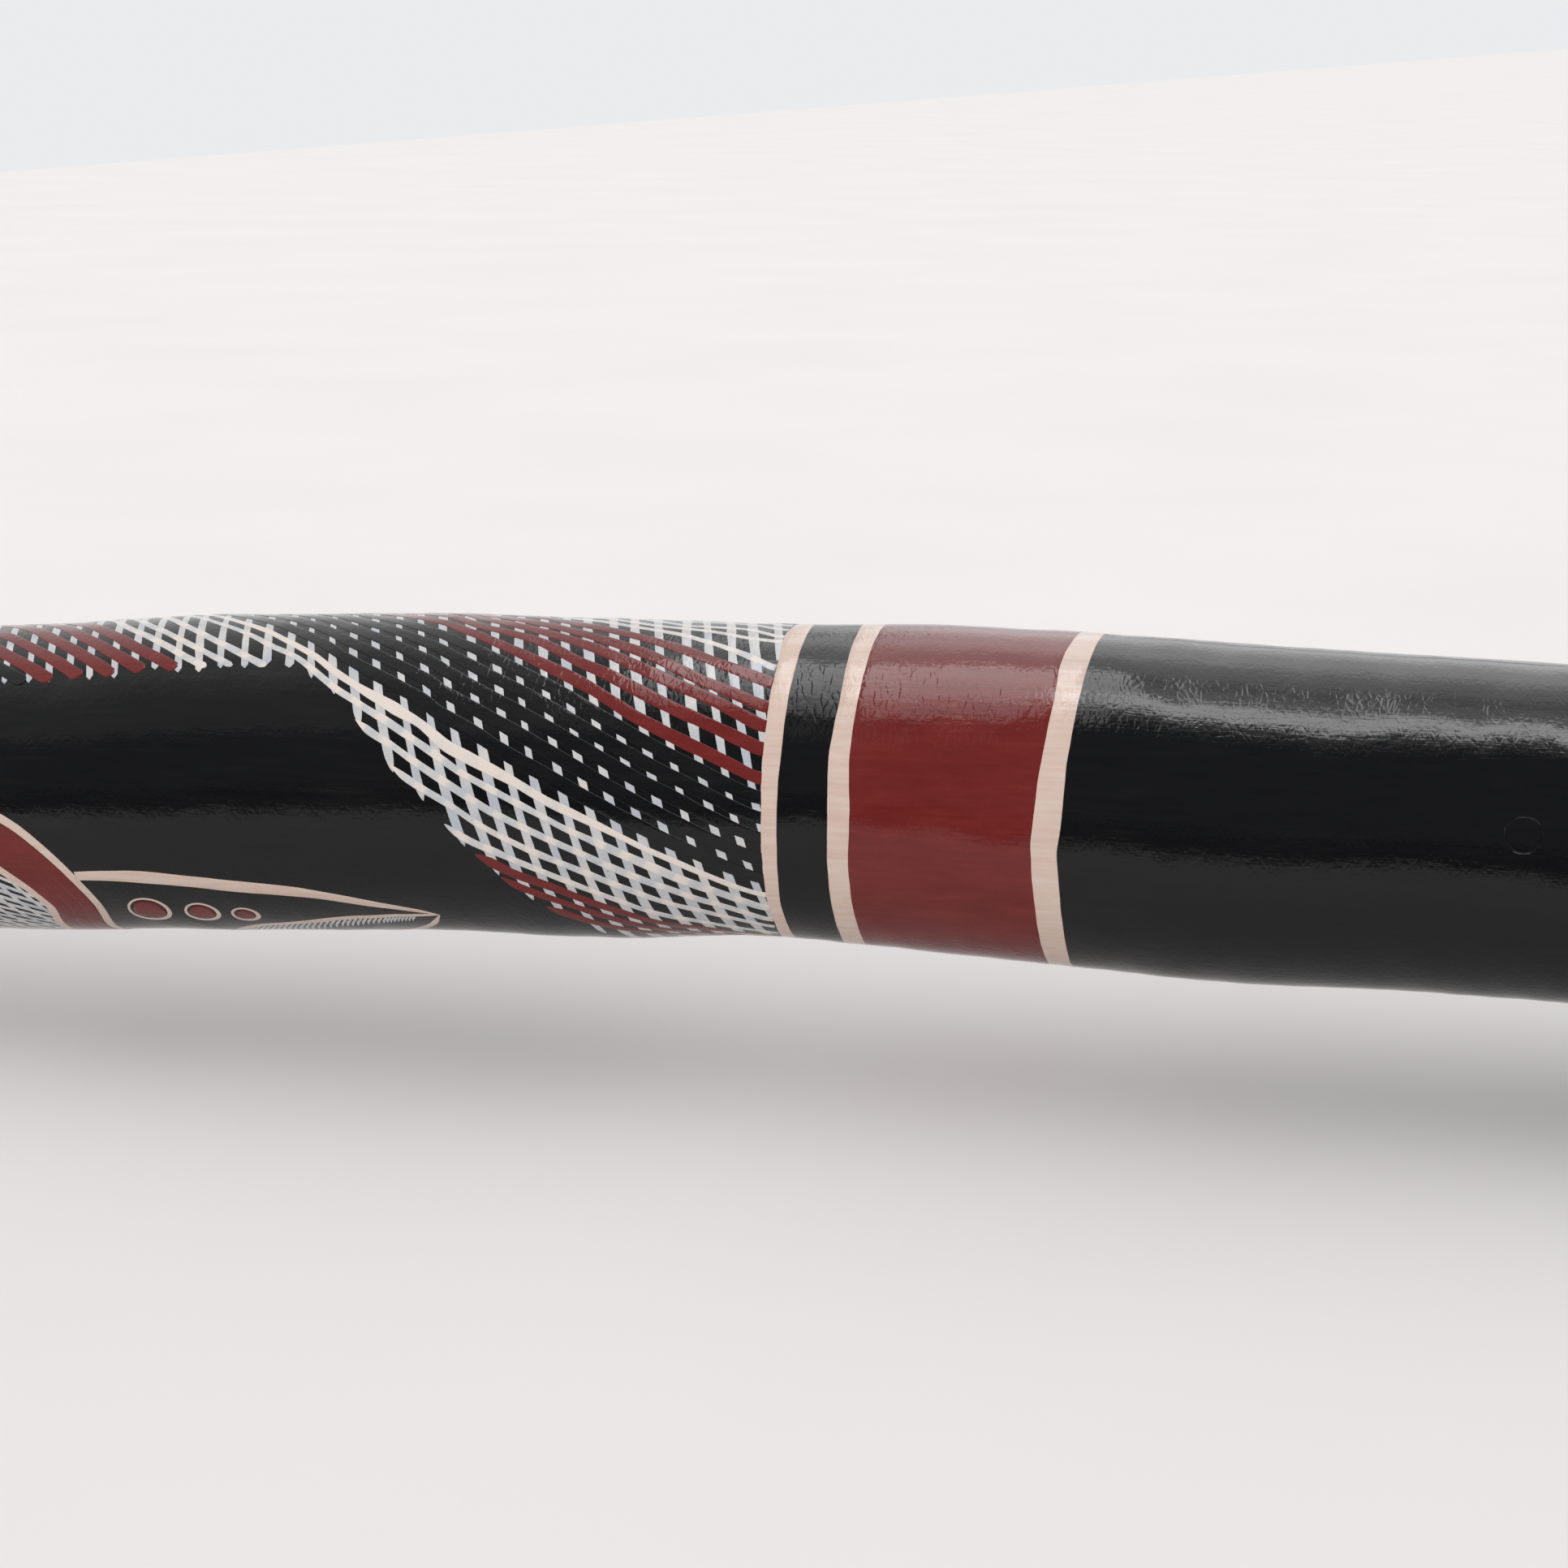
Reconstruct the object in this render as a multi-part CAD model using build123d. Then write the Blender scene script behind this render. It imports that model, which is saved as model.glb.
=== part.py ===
from build123d import *
import math
import os

# Didgeridoo: a hand-worked wooden tube lying along X, blowing end at +X, bell at -X,
# +Z up, the surface it lies on at z = 0. Front is -Y, back is +Y. Millimetres.
# The tube is split lengthwise, hollowed and glued back together, so it is two wooden
# halves, two glue lines, a beeswax ring on the blowing end and one filled knot hole.

# ---- driving dimensions --------------------------------------------------------------
X_BELL = -600.0          # rim plane of the bell
X_MOUTH = 598.0          # sawn end of the wood at the blowing end
X_TABLE_END = 604.0      # the length tables run a little past the sawn end
GLUE_T = 0.3             # glue line thickness between the halves

WAX_BORE_R = 14.5        # the blowing hole through the wax
WAX_INNER_LEN = 26.0     # how far the wax reaches down the bore
WAX_LIP = 5.0            # how far the wax stands past the sawn end
WAX_OVER = 9.0           # how far the wax laps down the outside
WAX_OUT_T = 1.8          # thickness of that lap
SEAT_OUT_R = 24.9        # the wood's end is trimmed round to this under the lap
SEAT_IN_R = 18.7         # the hole is opened to this for the wax at the sawn end
SEAT_TAPER = 0.7         # and by this much more at the wax's inner end

PLUG_R = 3.2             # filled knot hole
PLUG_X = 367.0
PLUG_ANGLE = 12.0        # degrees up from the front
PLUG_START = 15.0        # the plug blank starts this far from the centreline
PLUG_LEN = 30.0

BELL_SWELL_X = -440.0    # the bell's lobes grow from here to the rim

# The block that cuts out one side of the joint
BLOCK_X = 640            # it reaches this far each way along X
BLOCK_STEP = 40          # spacing of the points along the joint
BLOCK_Y = 120            # how far it reaches sideways
BLOCK_Z = -30            # its underside
BLOCK_H = 200

# The origin is the bottom centre of the whole instrument's box
CENTRING = Vector(-(X_BELL + X_MOUTH + WAX_LIP) / 2, -4.065, 0.0)

# ---- shape along the length ----------------------------------------------------------
# (x, centreline height)
CENTRE_Z = [
    (-600, 43.2), (-520, 43.8), (-440, 44.8), (-360, 46.0), (-270, 47.2), (-180, 48.0),
    (-90, 48.6), (0, 49.4), (45, 50.4), (80, 52.1), (110, 54.4), (131, 55.5), (150, 56.5),
    (171, 57.25), (190, 57.3), (209, 57.6), (223, 58.2), (235, 58.4), (245, 58.2),
    (258, 57.9), (275, 57.3), (290, 56.8), (303, 55.95), (325, 54.95), (342, 54.85),
    (357, 54.6), (375, 53.9), (430, 48.9), (485, 41.0), (530, 33.4), (555, 29.8),
    (575, 28.1), (590, 27.5), (X_TABLE_END, 27.4),
]
# (x, centreline y)
CENTRE_Y = [
    (-600, 4.0), (-440, 9.0), (-270, 8.0), (-90, 2.5), (70, -2.0), (150, -3.2),
    (228, -3.4), (303, -2.8), (375, -1.5), (485, 1.6), (580, 3.0), (X_TABLE_END, 3.0),
]
# (x, mean outside radius)
OUTER_R = [
    (-600, 43.5), (-575, 40.9), (-540, 38.4), (-490, 36.2), (-430, 34.7), (-360, 33.4),
    (-300, 32.2), (-230, 32.4), (-160, 31.3), (-90, 31.8), (-30, 30.9), (20, 31.2),
    (70, 30.5), (95, 30.9), (130, 31.1), (150, 30.8), (170, 30.5), (190, 30.5),
    (209, 30.35), (223, 29.7), (235, 29.5), (245, 29.75), (258, 30.37), (275, 31.0),
    (290, 31.2), (303, 31.45), (318, 31.3), (342, 30.85), (357, 31.0), (375, 31.1),
    (400, 31.0), (450, 29.9), (500, 28.6), (550, 26.9), (598, 25.4), (X_TABLE_END, 25.3),
]
# (x, mean bore radius)
BORE_R = [
    (-600, 35.2), (-560, 32.2), (-500, 29.6), (-420, 27.4), (-300, 25.4), (-150, 24.6),
    (0, 24.0), (150, 23.6), (300, 23.4), (420, 21.8), (500, 20.2), (560, 18.6),
    (X_TABLE_END, 18.0),
]
# Root lobes and hollows round the bell, the two biggest low down like feet:
# (height, angle up from the front in degrees, width in degrees)
OUTER_LOBES = [
    (3.2, -58, 17), (3.6, -121, 17), (-1.9, -90, 15), (1.9, 14, 26),
    (-0.8, 48, 20), (1.4, 84, 24), (2.4, 151, 28), (-0.6, -20, 20),
]
BORE_LOBES = [(0.9, 14, 30), (1.0, 151, 30), (0.8, -90, 60)]

# x of the rings each loft runs through; the bore overshoots both ends of the wood
OUTER_STATIONS = [
    X_BELL, -580, -555, -525, -490, -450, -405, -360, -315, -270, -225, -180, -135,
    -90, -45, 0, 40, 75, 110, 150, 172, 190, 208, 225, 242, 260, 280, 303, 322, 340,
    357, 375, 415, 455, 495, 530, 565, X_MOUTH,
]
BORE_STATIONS = [
    -612, -580, -525, -450, -360, -270, -180, -90, 0, 75, 150, 228, 303, 375,
    455, 530, 610,
]
OUTER_RING_POINTS = 36
BORE_RING_POINTS = 16
RING_START = math.radians(5)     # angle of each ring's first point


def curve(table, x):
    """Smooth interpolation through a table (cubic, three-point slopes), held at its ends."""
    last = len(table) - 1
    if x <= table[0][0]:
        return table[0][1]
    if x >= table[last][0]:
        return table[last][1]
    i = 0
    while table[i + 1][0] < x:
        i += 1

    def chord(k):
        return (table[k + 1][1] - table[k][1]) / (table[k + 1][0] - table[k][0])

    def slope(k):
        if k == 0:
            return chord(0)
        if k == last:
            return chord(last - 1)
        before = table[k][0] - table[k - 1][0]
        after = table[k + 1][0] - table[k][0]
        return (chord(k - 1) * after + chord(k) * before) / (before + after)

    x0, y0 = table[i]
    x1, y1 = table[i + 1]
    span = x1 - x0
    u = (x - x0) / span
    u2, u3 = u * u, u * u * u
    rise0, rise1 = slope(i) * span, slope(i + 1) * span
    return ((2 * u3 - 3 * u2 + 1) * y0 + (u3 - 2 * u2 + u) * rise0
            + (-2 * u3 + 3 * u2) * y1 + (u3 - u2) * rise1)


def ramp(x, start, end):
    """0 up to start, 1 from end on, straight in between."""
    return min(1.0, max(0.0, (x - start) / (end - start)))


def lobes(table, angle):
    """Sum of rounded bumps round the ring."""
    total = 0
    for height, centre, width in table:
        sharpness = 1.0 / (math.radians(width) ** 2)
        off_centre = math.cos(angle - math.radians(centre)) - 1.0
        total += height * math.exp(sharpness * off_centre)
    return total


def outer_radius(x, angle):
    """Outside radius at station x; angle 0 faces the front, 90 degrees is up."""
    # slow out-of-round left by the drawknife, fading out towards the blowing end
    uneven = (0.32 * math.cos(2 * angle + 0.011 * x)
              + 0.20 * math.cos(3 * angle - 0.017 * x + 1.0))
    swell = ramp(x, BELL_SWELL_X, X_BELL)
    swell = swell * swell * (3 - 2 * swell)
    return curve(OUTER_R, x) + ramp(x, 560.0, 360.0) * uneven + swell * lobes(OUTER_LOBES, angle)


def bore_radius(x, angle):
    """Bore radius: gouged, so a little uneven away from the blowing end."""
    uneven = 0.35 * math.cos(3 * angle + 0.013 * x) + 0.25 * math.cos(2 * angle - 0.02 * x)
    swell = ramp(x, BELL_SWELL_X, X_BELL)
    return curve(BORE_R, x) + ramp(x, 520.0, 300.0) * uneven + swell * lobes(BORE_LOBES, angle)


def ring(x, radius, count):
    centre_z, centre_y = curve(CENTRE_Z, x), curve(CENTRE_Y, x)
    points = []
    for i in range(count):
        angle = 2 * math.pi * i / count + RING_START
        r = radius(x, angle)
        points.append(Vector(x, centre_y - r * math.cos(angle), centre_z + r * math.sin(angle)))
    return Wire([Edge.make_spline(points, periodic=True)])


def biggest(shape):
    return max(shape.solids(), key=lambda solid: solid.volume)


# ---- hollow tube ---------------------------------------------------------------------
def make_tube():
    outer = Solid.make_loft([ring(x, outer_radius, OUTER_RING_POINTS) for x in OUTER_STATIONS])
    bore = Solid.make_loft([ring(x, bore_radius, BORE_RING_POINTS) for x in BORE_STATIONS])
    return outer - bore


# ---- the sawn joint: a vertical ruled surface that follows the bend of the log -------
def joint_y(x):
    x = max(X_BELL, min(X_TABLE_END, x))
    return curve(CENTRE_Y, x) + 1.1 * math.sin(x / 95.0)


def side_block(side):
    """Everything beyond the glue line on one side: -1 is the front, 1 the back."""
    offset = side * GLUE_T / 2
    joint = Edge.make_spline([Vector(x, joint_y(x) + offset, BLOCK_Z)
                              for x in range(-BLOCK_X, BLOCK_X + 1, BLOCK_STEP)])
    start, end = joint.position_at(0), joint.position_at(1)
    far_end = Vector(end.X, side * BLOCK_Y, BLOCK_Z)
    far_start = Vector(start.X, side * BLOCK_Y, BLOCK_Z)
    outline = Wire([
        joint,
        Edge.make_line(end, far_end),
        Edge.make_line(far_end, far_start),
        Edge.make_line(far_start, start),
    ])
    return extrude(Face(outline), amount=BLOCK_H, dir=(0, 0, 1))


def split_tube(tube):
    """Front half, back half, lower glue line and upper glue line."""
    front_block, back_block = side_block(-1), side_block(1)
    front = biggest(tube & front_block)
    back = biggest(tube & back_block)
    glue = (tube - front_block) - back_block
    strips = sorted(glue.solids(), key=lambda strip: strip.center().Z)
    return front, back, strips[0], strips[-1]


# ---- beeswax on the blowing end ------------------------------------------------------
def make_wax():
    """Turned ring: sleeve down the hole, soft round lip, lap down the outside."""
    centre_y, centre_z = curve(CENTRE_Y, X_MOUTH), curve(CENTRE_Z, X_MOUTH)
    inner_x = X_MOUTH - WAX_INNER_LEN
    lip_x = X_MOUTH + WAX_LIP
    lap_x = X_MOUTH - WAX_OVER
    hole_r = WAX_BORE_R
    lap_r = outer_radius(X_MOUTH, 0.0) + WAX_OUT_T

    # (x, radius): one point ends a line, two are the middle and end of an arc
    start = (inner_x, SEAT_IN_R + SEAT_TAPER)
    steps = [
        [(inner_x, hole_r + 1.2)],                                  # inner end
        [(inner_x + 4.0, hole_r)],                                  # lead-in
        [(lip_x - 3.0, hole_r)],                                    # blowing hole
        [(lip_x - 0.9, hole_r + 1.0), (lip_x, hole_r + 3.2)],       # lip's inner round
        [(lip_x - 0.2, lap_r - 4.6)],                               # lip face
        [(lip_x - 1.5, lap_r - 1.2), (lip_x - 5.2, lap_r)],         # lip's outer round
        [(lap_x + 1.4, lap_r - 0.5)],                               # outside of the lap
        [(lap_x + 0.3, lap_r - 0.9), (lap_x, lap_r - 1.6)],         # rounded lap edge
        [(lap_x, SEAT_OUT_R)],                                      # end of the lap
        [(X_MOUTH, SEAT_OUT_R)],                                    # seat round the wood
        [(X_MOUTH, SEAT_IN_R)],                                     # sawn end
        [start],                                                    # tapered seat in the hole
    ]
    edges = []
    here = start
    for step in steps:
        points = [Vector(x, centre_y, centre_z + r) for x, r in [here, *step]]
        make_edge = Edge.make_line if len(step) == 1 else Edge.make_three_point_arc
        edges.append(make_edge(*points))
        here = step[-1]
    return Solid.revolve(Face(Wire(edges)), 360, Axis((0, centre_y, centre_z), (1, 0, 0)))


# ---- filled knot hole ----------------------------------------------------------------
def make_plug_blank():
    angle = math.radians(PLUG_ANGLE)
    outward = Vector(0, -math.cos(angle), math.sin(angle))
    centre = Vector(PLUG_X, curve(CENTRE_Y, PLUG_X), curve(CENTRE_Z, PLUG_X))
    plane = Plane(origin=centre + outward * PLUG_START, z_dir=outward)
    return Solid.make_cylinder(PLUG_R, PLUG_LEN, plane)


# ---- assemble and write --------------------------------------------------------------
wax = make_wax()
# the wood and glue are trimmed to seat the wax
front, back, glue_lower, glue_upper = [biggest(part - wax) for part in split_tube(make_tube())]

plug_blank = make_plug_blank()
plug = biggest(plug_blank & front)
front = biggest(front - plug_blank)

PIECES = {
    "shell_front": front,
    "shell_back": back,
    "seam_glue_upper": glue_upper,
    "seam_glue_lower": glue_lower,
    "mouthpiece_wax": wax,
    "knot_plug": plug,
}
os.makedirs("parts", exist_ok=True)
for name, solid in PIECES.items():
    solid = solid.moved(Location(CENTRING))
    solid.label = name
    export_step(solid, "parts/" + name + ".step")
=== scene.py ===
# A painted didgeridoo: two wooden halves glued along the top and the underside, a beeswax
# mouthpiece, a round knot plug and painted decoration laid on the skin as thin closed strips.
# The tube lies along X, bell at -X and mouthpiece at +X. -Y is the front and +Z is up.
# Shapes are worked out in millimetres and built in metres, standing on z = 0.
import bmesh
import bpy
import math
import numpy as np
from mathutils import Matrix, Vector


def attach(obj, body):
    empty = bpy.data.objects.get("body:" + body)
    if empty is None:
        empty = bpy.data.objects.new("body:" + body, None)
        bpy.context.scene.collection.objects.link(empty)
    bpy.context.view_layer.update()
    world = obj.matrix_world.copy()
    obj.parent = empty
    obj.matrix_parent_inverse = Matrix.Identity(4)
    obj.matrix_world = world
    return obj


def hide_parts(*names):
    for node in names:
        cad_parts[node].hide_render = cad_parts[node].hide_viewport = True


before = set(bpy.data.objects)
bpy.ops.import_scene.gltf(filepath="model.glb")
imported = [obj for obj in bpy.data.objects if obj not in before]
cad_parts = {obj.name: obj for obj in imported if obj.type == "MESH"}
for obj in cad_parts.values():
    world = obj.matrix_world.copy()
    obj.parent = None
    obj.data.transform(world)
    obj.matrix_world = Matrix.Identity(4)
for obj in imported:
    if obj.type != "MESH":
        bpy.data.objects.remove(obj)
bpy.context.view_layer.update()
scene = bpy.context.scene
MM = 0.001

# ---- driving dimensions, mm -------------------------------------------------------------
# (X, height of the axis)
AXIS_Z = [
    (-600, 43.2), (-520, 43.8), (-440, 44.8), (-360, 46.0), (-270, 47.2), (-180, 48.0),
    (-90, 48.6), (0, 49.4), (45, 50.4), (80, 52.1), (110, 54.4), (131, 55.5), (150, 56.5),
    (171, 57.25), (190, 57.3), (209, 57.6), (223, 58.2), (235, 58.4), (245, 58.2), (258, 57.9),
    (275, 57.3), (290, 56.8), (303, 55.95), (325, 54.95), (342, 54.85), (357, 54.6),
    (375, 53.9), (430, 48.9), (485, 41.0), (530, 33.4), (555, 29.8), (575, 28.1), (590, 27.5),
    (604, 27.4)]
# (X, Y of the axis)
AXIS_Y = [
    (-600, 4.0), (-440, 9.0), (-270, 8.0), (-90, 2.5), (70, -2.0), (150, -3.2),
    (228, -3.4), (303, -2.8), (375, -1.5), (485, 1.6), (580, 3.0), (604, 3.0)]
# (X, mean outer radius)
OUTER = [
    (-600, 43.5), (-575, 40.9), (-540, 38.4), (-490, 36.2), (-430, 34.7), (-360, 33.4),
    (-300, 32.2), (-230, 32.4), (-160, 31.3), (-90, 31.8), (-30, 30.9), (20, 31.2),
    (70, 30.5), (95, 30.9), (130, 31.1), (150, 30.8), (170, 30.5), (190, 30.5), (209, 30.35),
    (223, 29.7), (235, 29.5), (245, 29.75), (258, 30.37), (275, 31.0), (290, 31.2),
    (303, 31.45), (318, 31.3), (342, 30.85), (357, 31.0), (375, 31.1), (400, 31.0),
    (450, 29.9), (500, 28.6), (550, 26.9), (598, 25.4), (604, 25.3)]
# (X, mean bore radius)
BORE = [
    (-600, 35.2), (-560, 32.2), (-500, 29.6), (-420, 27.4), (-300, 25.4), (-150, 24.6),
    (0, 24.0), (150, 23.6), (300, 23.4), (420, 21.8), (500, 20.2), (560, 18.6), (604, 18.0)]
# lobes round the bell: (amount in mm, angle in degrees, width in degrees)
OUTER_LOBES = [(3.2, -58, 17), (3.6, -121, 17), (-1.9, -90, 15), (1.9, 14, 26),
               (-0.8, 48, 20), (1.4, 84, 24), (2.4, 151, 28), (-0.6, -20, 20)]
BORE_LOBES = [(0.9, 14, 30), (1.0, 151, 30), (0.8, -90, 60)]
X_BELL, X_MOUTH = -600.0, 598.0
X_LOBES_END = -440.0                      # the bell's lobes fade out here
GLUE_T = 0.3
PLUG_R, PLUG_X, PLUG_PHI = 3.2, 367.0, math.radians(12.0)
SHIFT = np.array([-1.5, -4.065, 0.0])     # puts the origin at the bottom centre of the box
TOP, UNDERSIDE = math.pi / 2, -math.pi / 2


# ---- the tube's surfaces: phi is 0 at the front and a quarter turn at the top -----------
def curve(table, x):
    """Cubic curve through the (X, value) rows, held at the end values beyond them."""
    knots, values = np.array(table, float).T
    gap = np.diff(knots)
    rise = np.diff(values) / gap
    slope = np.empty(len(knots))
    slope[0], slope[-1] = rise[0], rise[-1]
    slope[1:-1] = (rise[:-1] * gap[1:] + rise[1:] * gap[:-1]) / (gap[:-1] + gap[1:])
    x = np.clip(np.asarray(x, float), knots[0], knots[-1])
    i = np.clip(np.searchsorted(knots, x, side="right") - 1, 0, len(knots) - 2)
    t = (x - knots[i]) / gap[i]
    t2, t3 = t * t, t * t * t
    return ((2 * t3 - 3 * t2 + 1) * values[i] + (t3 - 2 * t2 + t) * slope[i] * gap[i]
            + (-2 * t3 + 3 * t2) * values[i + 1] + (t3 - t2) * slope[i + 1] * gap[i])


def smooth(start, end, x):
    t = np.clip((np.asarray(x, float) - start) / (end - start), 0, 1)
    return t * t * (3 - 2 * t)


def lobes(table, phi):
    return sum(amount * np.exp((np.cos(phi - math.radians(at)) - 1.0) / math.radians(width) ** 2)
               for amount, at, width in table)


def outer_r(x, phi):
    fade = np.clip((560.0 - x) / 200.0, 0, 1)
    uneven = 0.32 * np.cos(2 * phi + 0.011 * x) + 0.20 * np.cos(3 * phi - 0.017 * x + 1.0)
    return (curve(OUTER, x) + fade * uneven
            + smooth(X_LOBES_END, X_BELL, x) * lobes(OUTER_LOBES, phi))


def bore_r(x, phi):
    fade = np.clip((520.0 - x) / 220.0, 0, 1)
    uneven = 0.35 * np.cos(3 * phi + 0.013 * x) + 0.25 * np.cos(2 * phi - 0.02 * x)
    return (curve(BORE, x) + fade * uneven
            + smooth(X_LOBES_END, X_BELL, x) * lobes(BORE_LOBES, phi))


# relief of the skin, slow facets to short ripples: (waves, shortest and longest wavelength
# along X, fewest and most waves round the tube, height), lengths in mm
RELIEF = [(9, 34, 90, 0, 4, 0.070), (16, 13, 30, 2, 9, 0.018), (26, 5, 11, 5, 20, 0.0050)]


def relief_waves():
    rng = np.random.default_rng(41)
    waves = []
    for count, shortest, longest, fewest, most, height in RELIEF:
        for _ in range(count):
            waves.append((2 * math.pi / rng.uniform(shortest, longest),
                          int(rng.integers(fewest, most + 1)),
                          rng.uniform(0, 2 * math.pi), rng.uniform(0, 2 * math.pi),
                          height * rng.uniform(0.6, 1.3)))
    return waves


RELIEF_WAVES = relief_waves()


def relief(x, phi):
    out = np.zeros(np.broadcast(x, phi).shape)
    for along, around, shift_x, shift_phi, height in RELIEF_WAVES:
        out += (height * np.cos(along * x + shift_x + 0.7 * np.sin(phi + shift_phi))
                * np.cos(around * phi + shift_phi))
    return (out * smooth(X_BELL, X_BELL + 12, x)
            * (1 - smooth(X_MOUTH - 24, X_MOUTH - 12, x)))


def skin_r(x, phi):
    return outer_r(x, phi) + relief(x, phi)


def to_xyz(x, phi, radius):
    return np.stack([x + 0 * phi, curve(AXIS_Y, x) - radius * np.cos(phi),
                     curve(AXIS_Z, x) + radius * np.sin(phi)], -1)


def on_skin(x, phi, height):
    return to_xyz(x, phi, skin_r(x, phi) + height)


def joint_off(x):
    """How far the glued joint wanders in Y from the axis."""
    return 1.1 * np.sin(x / 95.0)


def bell_rounding(x):
    """How far the edges are drawn in right at the bell."""
    return 0.7 * (1 - min(1.0, (x - X_BELL) / 1.6)) ** 2


# ---- shader node helpers ----------------------------------------------------------------
def srgb(*levels):
    def linear(c):
        return c / 12.92 if c <= 0.04045 else ((c + 0.055) / 1.055) ** 2.4
    return (*(linear(level / 255) for level in levels), 1.0)


class Nodes:
    """Builds the node tree of one material or world."""

    def __init__(self, owner):
        owner.use_nodes = True
        self.tree = owner.node_tree
        self.tree.nodes.clear()

    def add(self, kind, **settings):
        node = self.tree.nodes.new("ShaderNode" + kind)
        for name, value in settings.items():
            setattr(node, name, value)
        return node

    def plug(self, source, socket):
        """Link an output to the socket, or set the socket to a plain value."""
        if isinstance(source, bpy.types.NodeSocket):
            self.tree.links.new(source, socket)
        else:
            socket.default_value = source

    def stretched(self, stretch):
        """Object position in metres times stretch, so one unit is a grain length."""
        position = self.add("TexCoord")
        mapping = self.add("Mapping")
        mapping.inputs["Scale"].default_value = stretch
        self.plug(position.outputs["Object"], mapping.inputs["Vector"])
        return mapping.outputs[0]

    def noise_at(self, vector, detail, rough, distortion=0.0, scale=1.0):
        node = self.add("TexNoise")
        node.inputs["Scale"].default_value = scale
        node.inputs["Detail"].default_value = detail
        node.inputs["Roughness"].default_value = rough
        node.inputs["Distortion"].default_value = distortion
        self.plug(vector, node.inputs["Vector"])
        return node

    def noise(self, stretch, detail, rough, distortion=0.0):
        return self.noise_at(self.stretched(stretch), detail, rough, distortion).outputs["Fac"]

    def ramp(self, value, stops):
        node = self.add("ValToRGB")
        elements = node.color_ramp.elements
        while len(elements) < len(stops):
            elements.new(0.5)
        for element, (position, colour) in zip(elements, stops):
            element.position = position
            element.color = colour if len(colour) == 4 else (*colour, 1)
        self.plug(value, node.inputs[0])
        return node.outputs[0]

    def map_range(self, value, source, target):
        node = self.add("MapRange")
        for i, limit in enumerate((*source, *target)):
            node.inputs[1 + i].default_value = limit
        self.plug(value, node.inputs[0])
        return node.outputs[0]

    def math(self, operation, first, second):
        node = self.add("Math", operation=operation)
        self.plug(first, node.inputs[0])
        self.plug(second, node.inputs[1])
        return node.outputs[0]

    def vector_math(self, operation, first, second, socket=1):
        node = self.add("VectorMath", operation=operation)
        self.plug(first, node.inputs[0])
        self.plug(second, node.inputs[socket])
        return node.outputs[0]

    def weighted(self, first, first_share, second, second_share):
        return self.math("ADD", self.math("MULTIPLY", first, first_share),
                         self.math("MULTIPLY", second, second_share))

    def mix(self, share, first, second, mode="MIX"):
        node = self.add("Mix", data_type="RGBA", blend_type=mode)
        self.plug(share, node.inputs[0])
        self.plug(first, node.inputs[6])
        self.plug(second, node.inputs[7])
        return node.outputs[2]

    def bump(self, height, strength, distance):
        node = self.add("Bump")
        node.inputs["Strength"].default_value = strength
        node.inputs["Distance"].default_value = distance
        self.plug(height, node.inputs["Height"])
        return node.outputs[0]


def new_material(name):
    material = bpy.data.materials.new(name)
    nodes = Nodes(material)
    output = nodes.add("OutputMaterial")
    shader = nodes.add("BsdfPrincipled")
    nodes.plug(shader.outputs[0], output.inputs[0])
    return material, nodes, shader


# ---- materials --------------------------------------------------------------------------
def varnish(nodes, shader):
    """Gloss coat: fine fibres along the tube, ripples, a crackle of scales, patchy gloss."""
    fibres = nodes.noise((170, 1500, 1500), detail=4.0, rough=0.62, distortion=0.5)
    ripples = nodes.noise((240, 170, 170), detail=2.5, rough=0.5, distortion=0.9)
    cells = nodes.stretched((760, 400, 400))
    warp = nodes.noise_at(cells, detail=2.0, rough=0.5, scale=0.45).outputs["Color"]
    warp = nodes.vector_math("SCALE", warp, 1.6, socket="Scale")
    warped = nodes.vector_math("ADD", cells, warp)
    crackle = nodes.add("TexVoronoi", feature="DISTANCE_TO_EDGE")
    crackle.inputs["Scale"].default_value = 1.0
    nodes.plug(warped, crackle.inputs["Vector"])
    scales = nodes.map_range(crackle.outputs["Distance"], source=(0.0, 0.24), target=(0.0, 1.0))
    height = nodes.weighted(fibres, 0.20, ripples, 0.38)
    height = nodes.math("ADD", height, nodes.math("MULTIPLY", scales, 0.10))
    normal = nodes.bump(height, strength=1.0, distance=0.00016)
    nodes.plug(normal, shader.inputs["Normal"])
    nodes.plug(normal, shader.inputs["Coat Normal"])
    shader.inputs["Coat Weight"].default_value = 1.0
    shader.inputs["Coat IOR"].default_value = 1.36
    patches = nodes.noise((60, 90, 90), detail=3.0, rough=0.6)
    gloss = nodes.map_range(patches, source=(0.3, 0.7), target=(0.04, 0.075))
    nodes.plug(gloss, shader.inputs["Coat Roughness"])
    shader.inputs["Roughness"].default_value = 0.45
    shader.inputs["Specular IOR Level"].default_value = 0.0


def lacquered_black():
    material, nodes, shader = new_material("lacquered_black")
    broad = nodes.noise((22, 40, 40), detail=4.0, rough=0.6)
    streaks = nodes.noise((70, 900, 900), detail=3.0, rough=0.6)
    tone = nodes.math("MULTIPLY", nodes.math("ADD", broad, streaks), 0.5)
    colour = nodes.ramp(tone, [(0.30, (0.0036, 0.0038, 0.0044)), (0.55, (0.0058, 0.0060, 0.0066)),
                               (0.75, (0.0108, 0.0108, 0.0111))])
    nodes.plug(colour, shader.inputs["Base Color"])
    varnish(nodes, shader)
    return material


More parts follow.
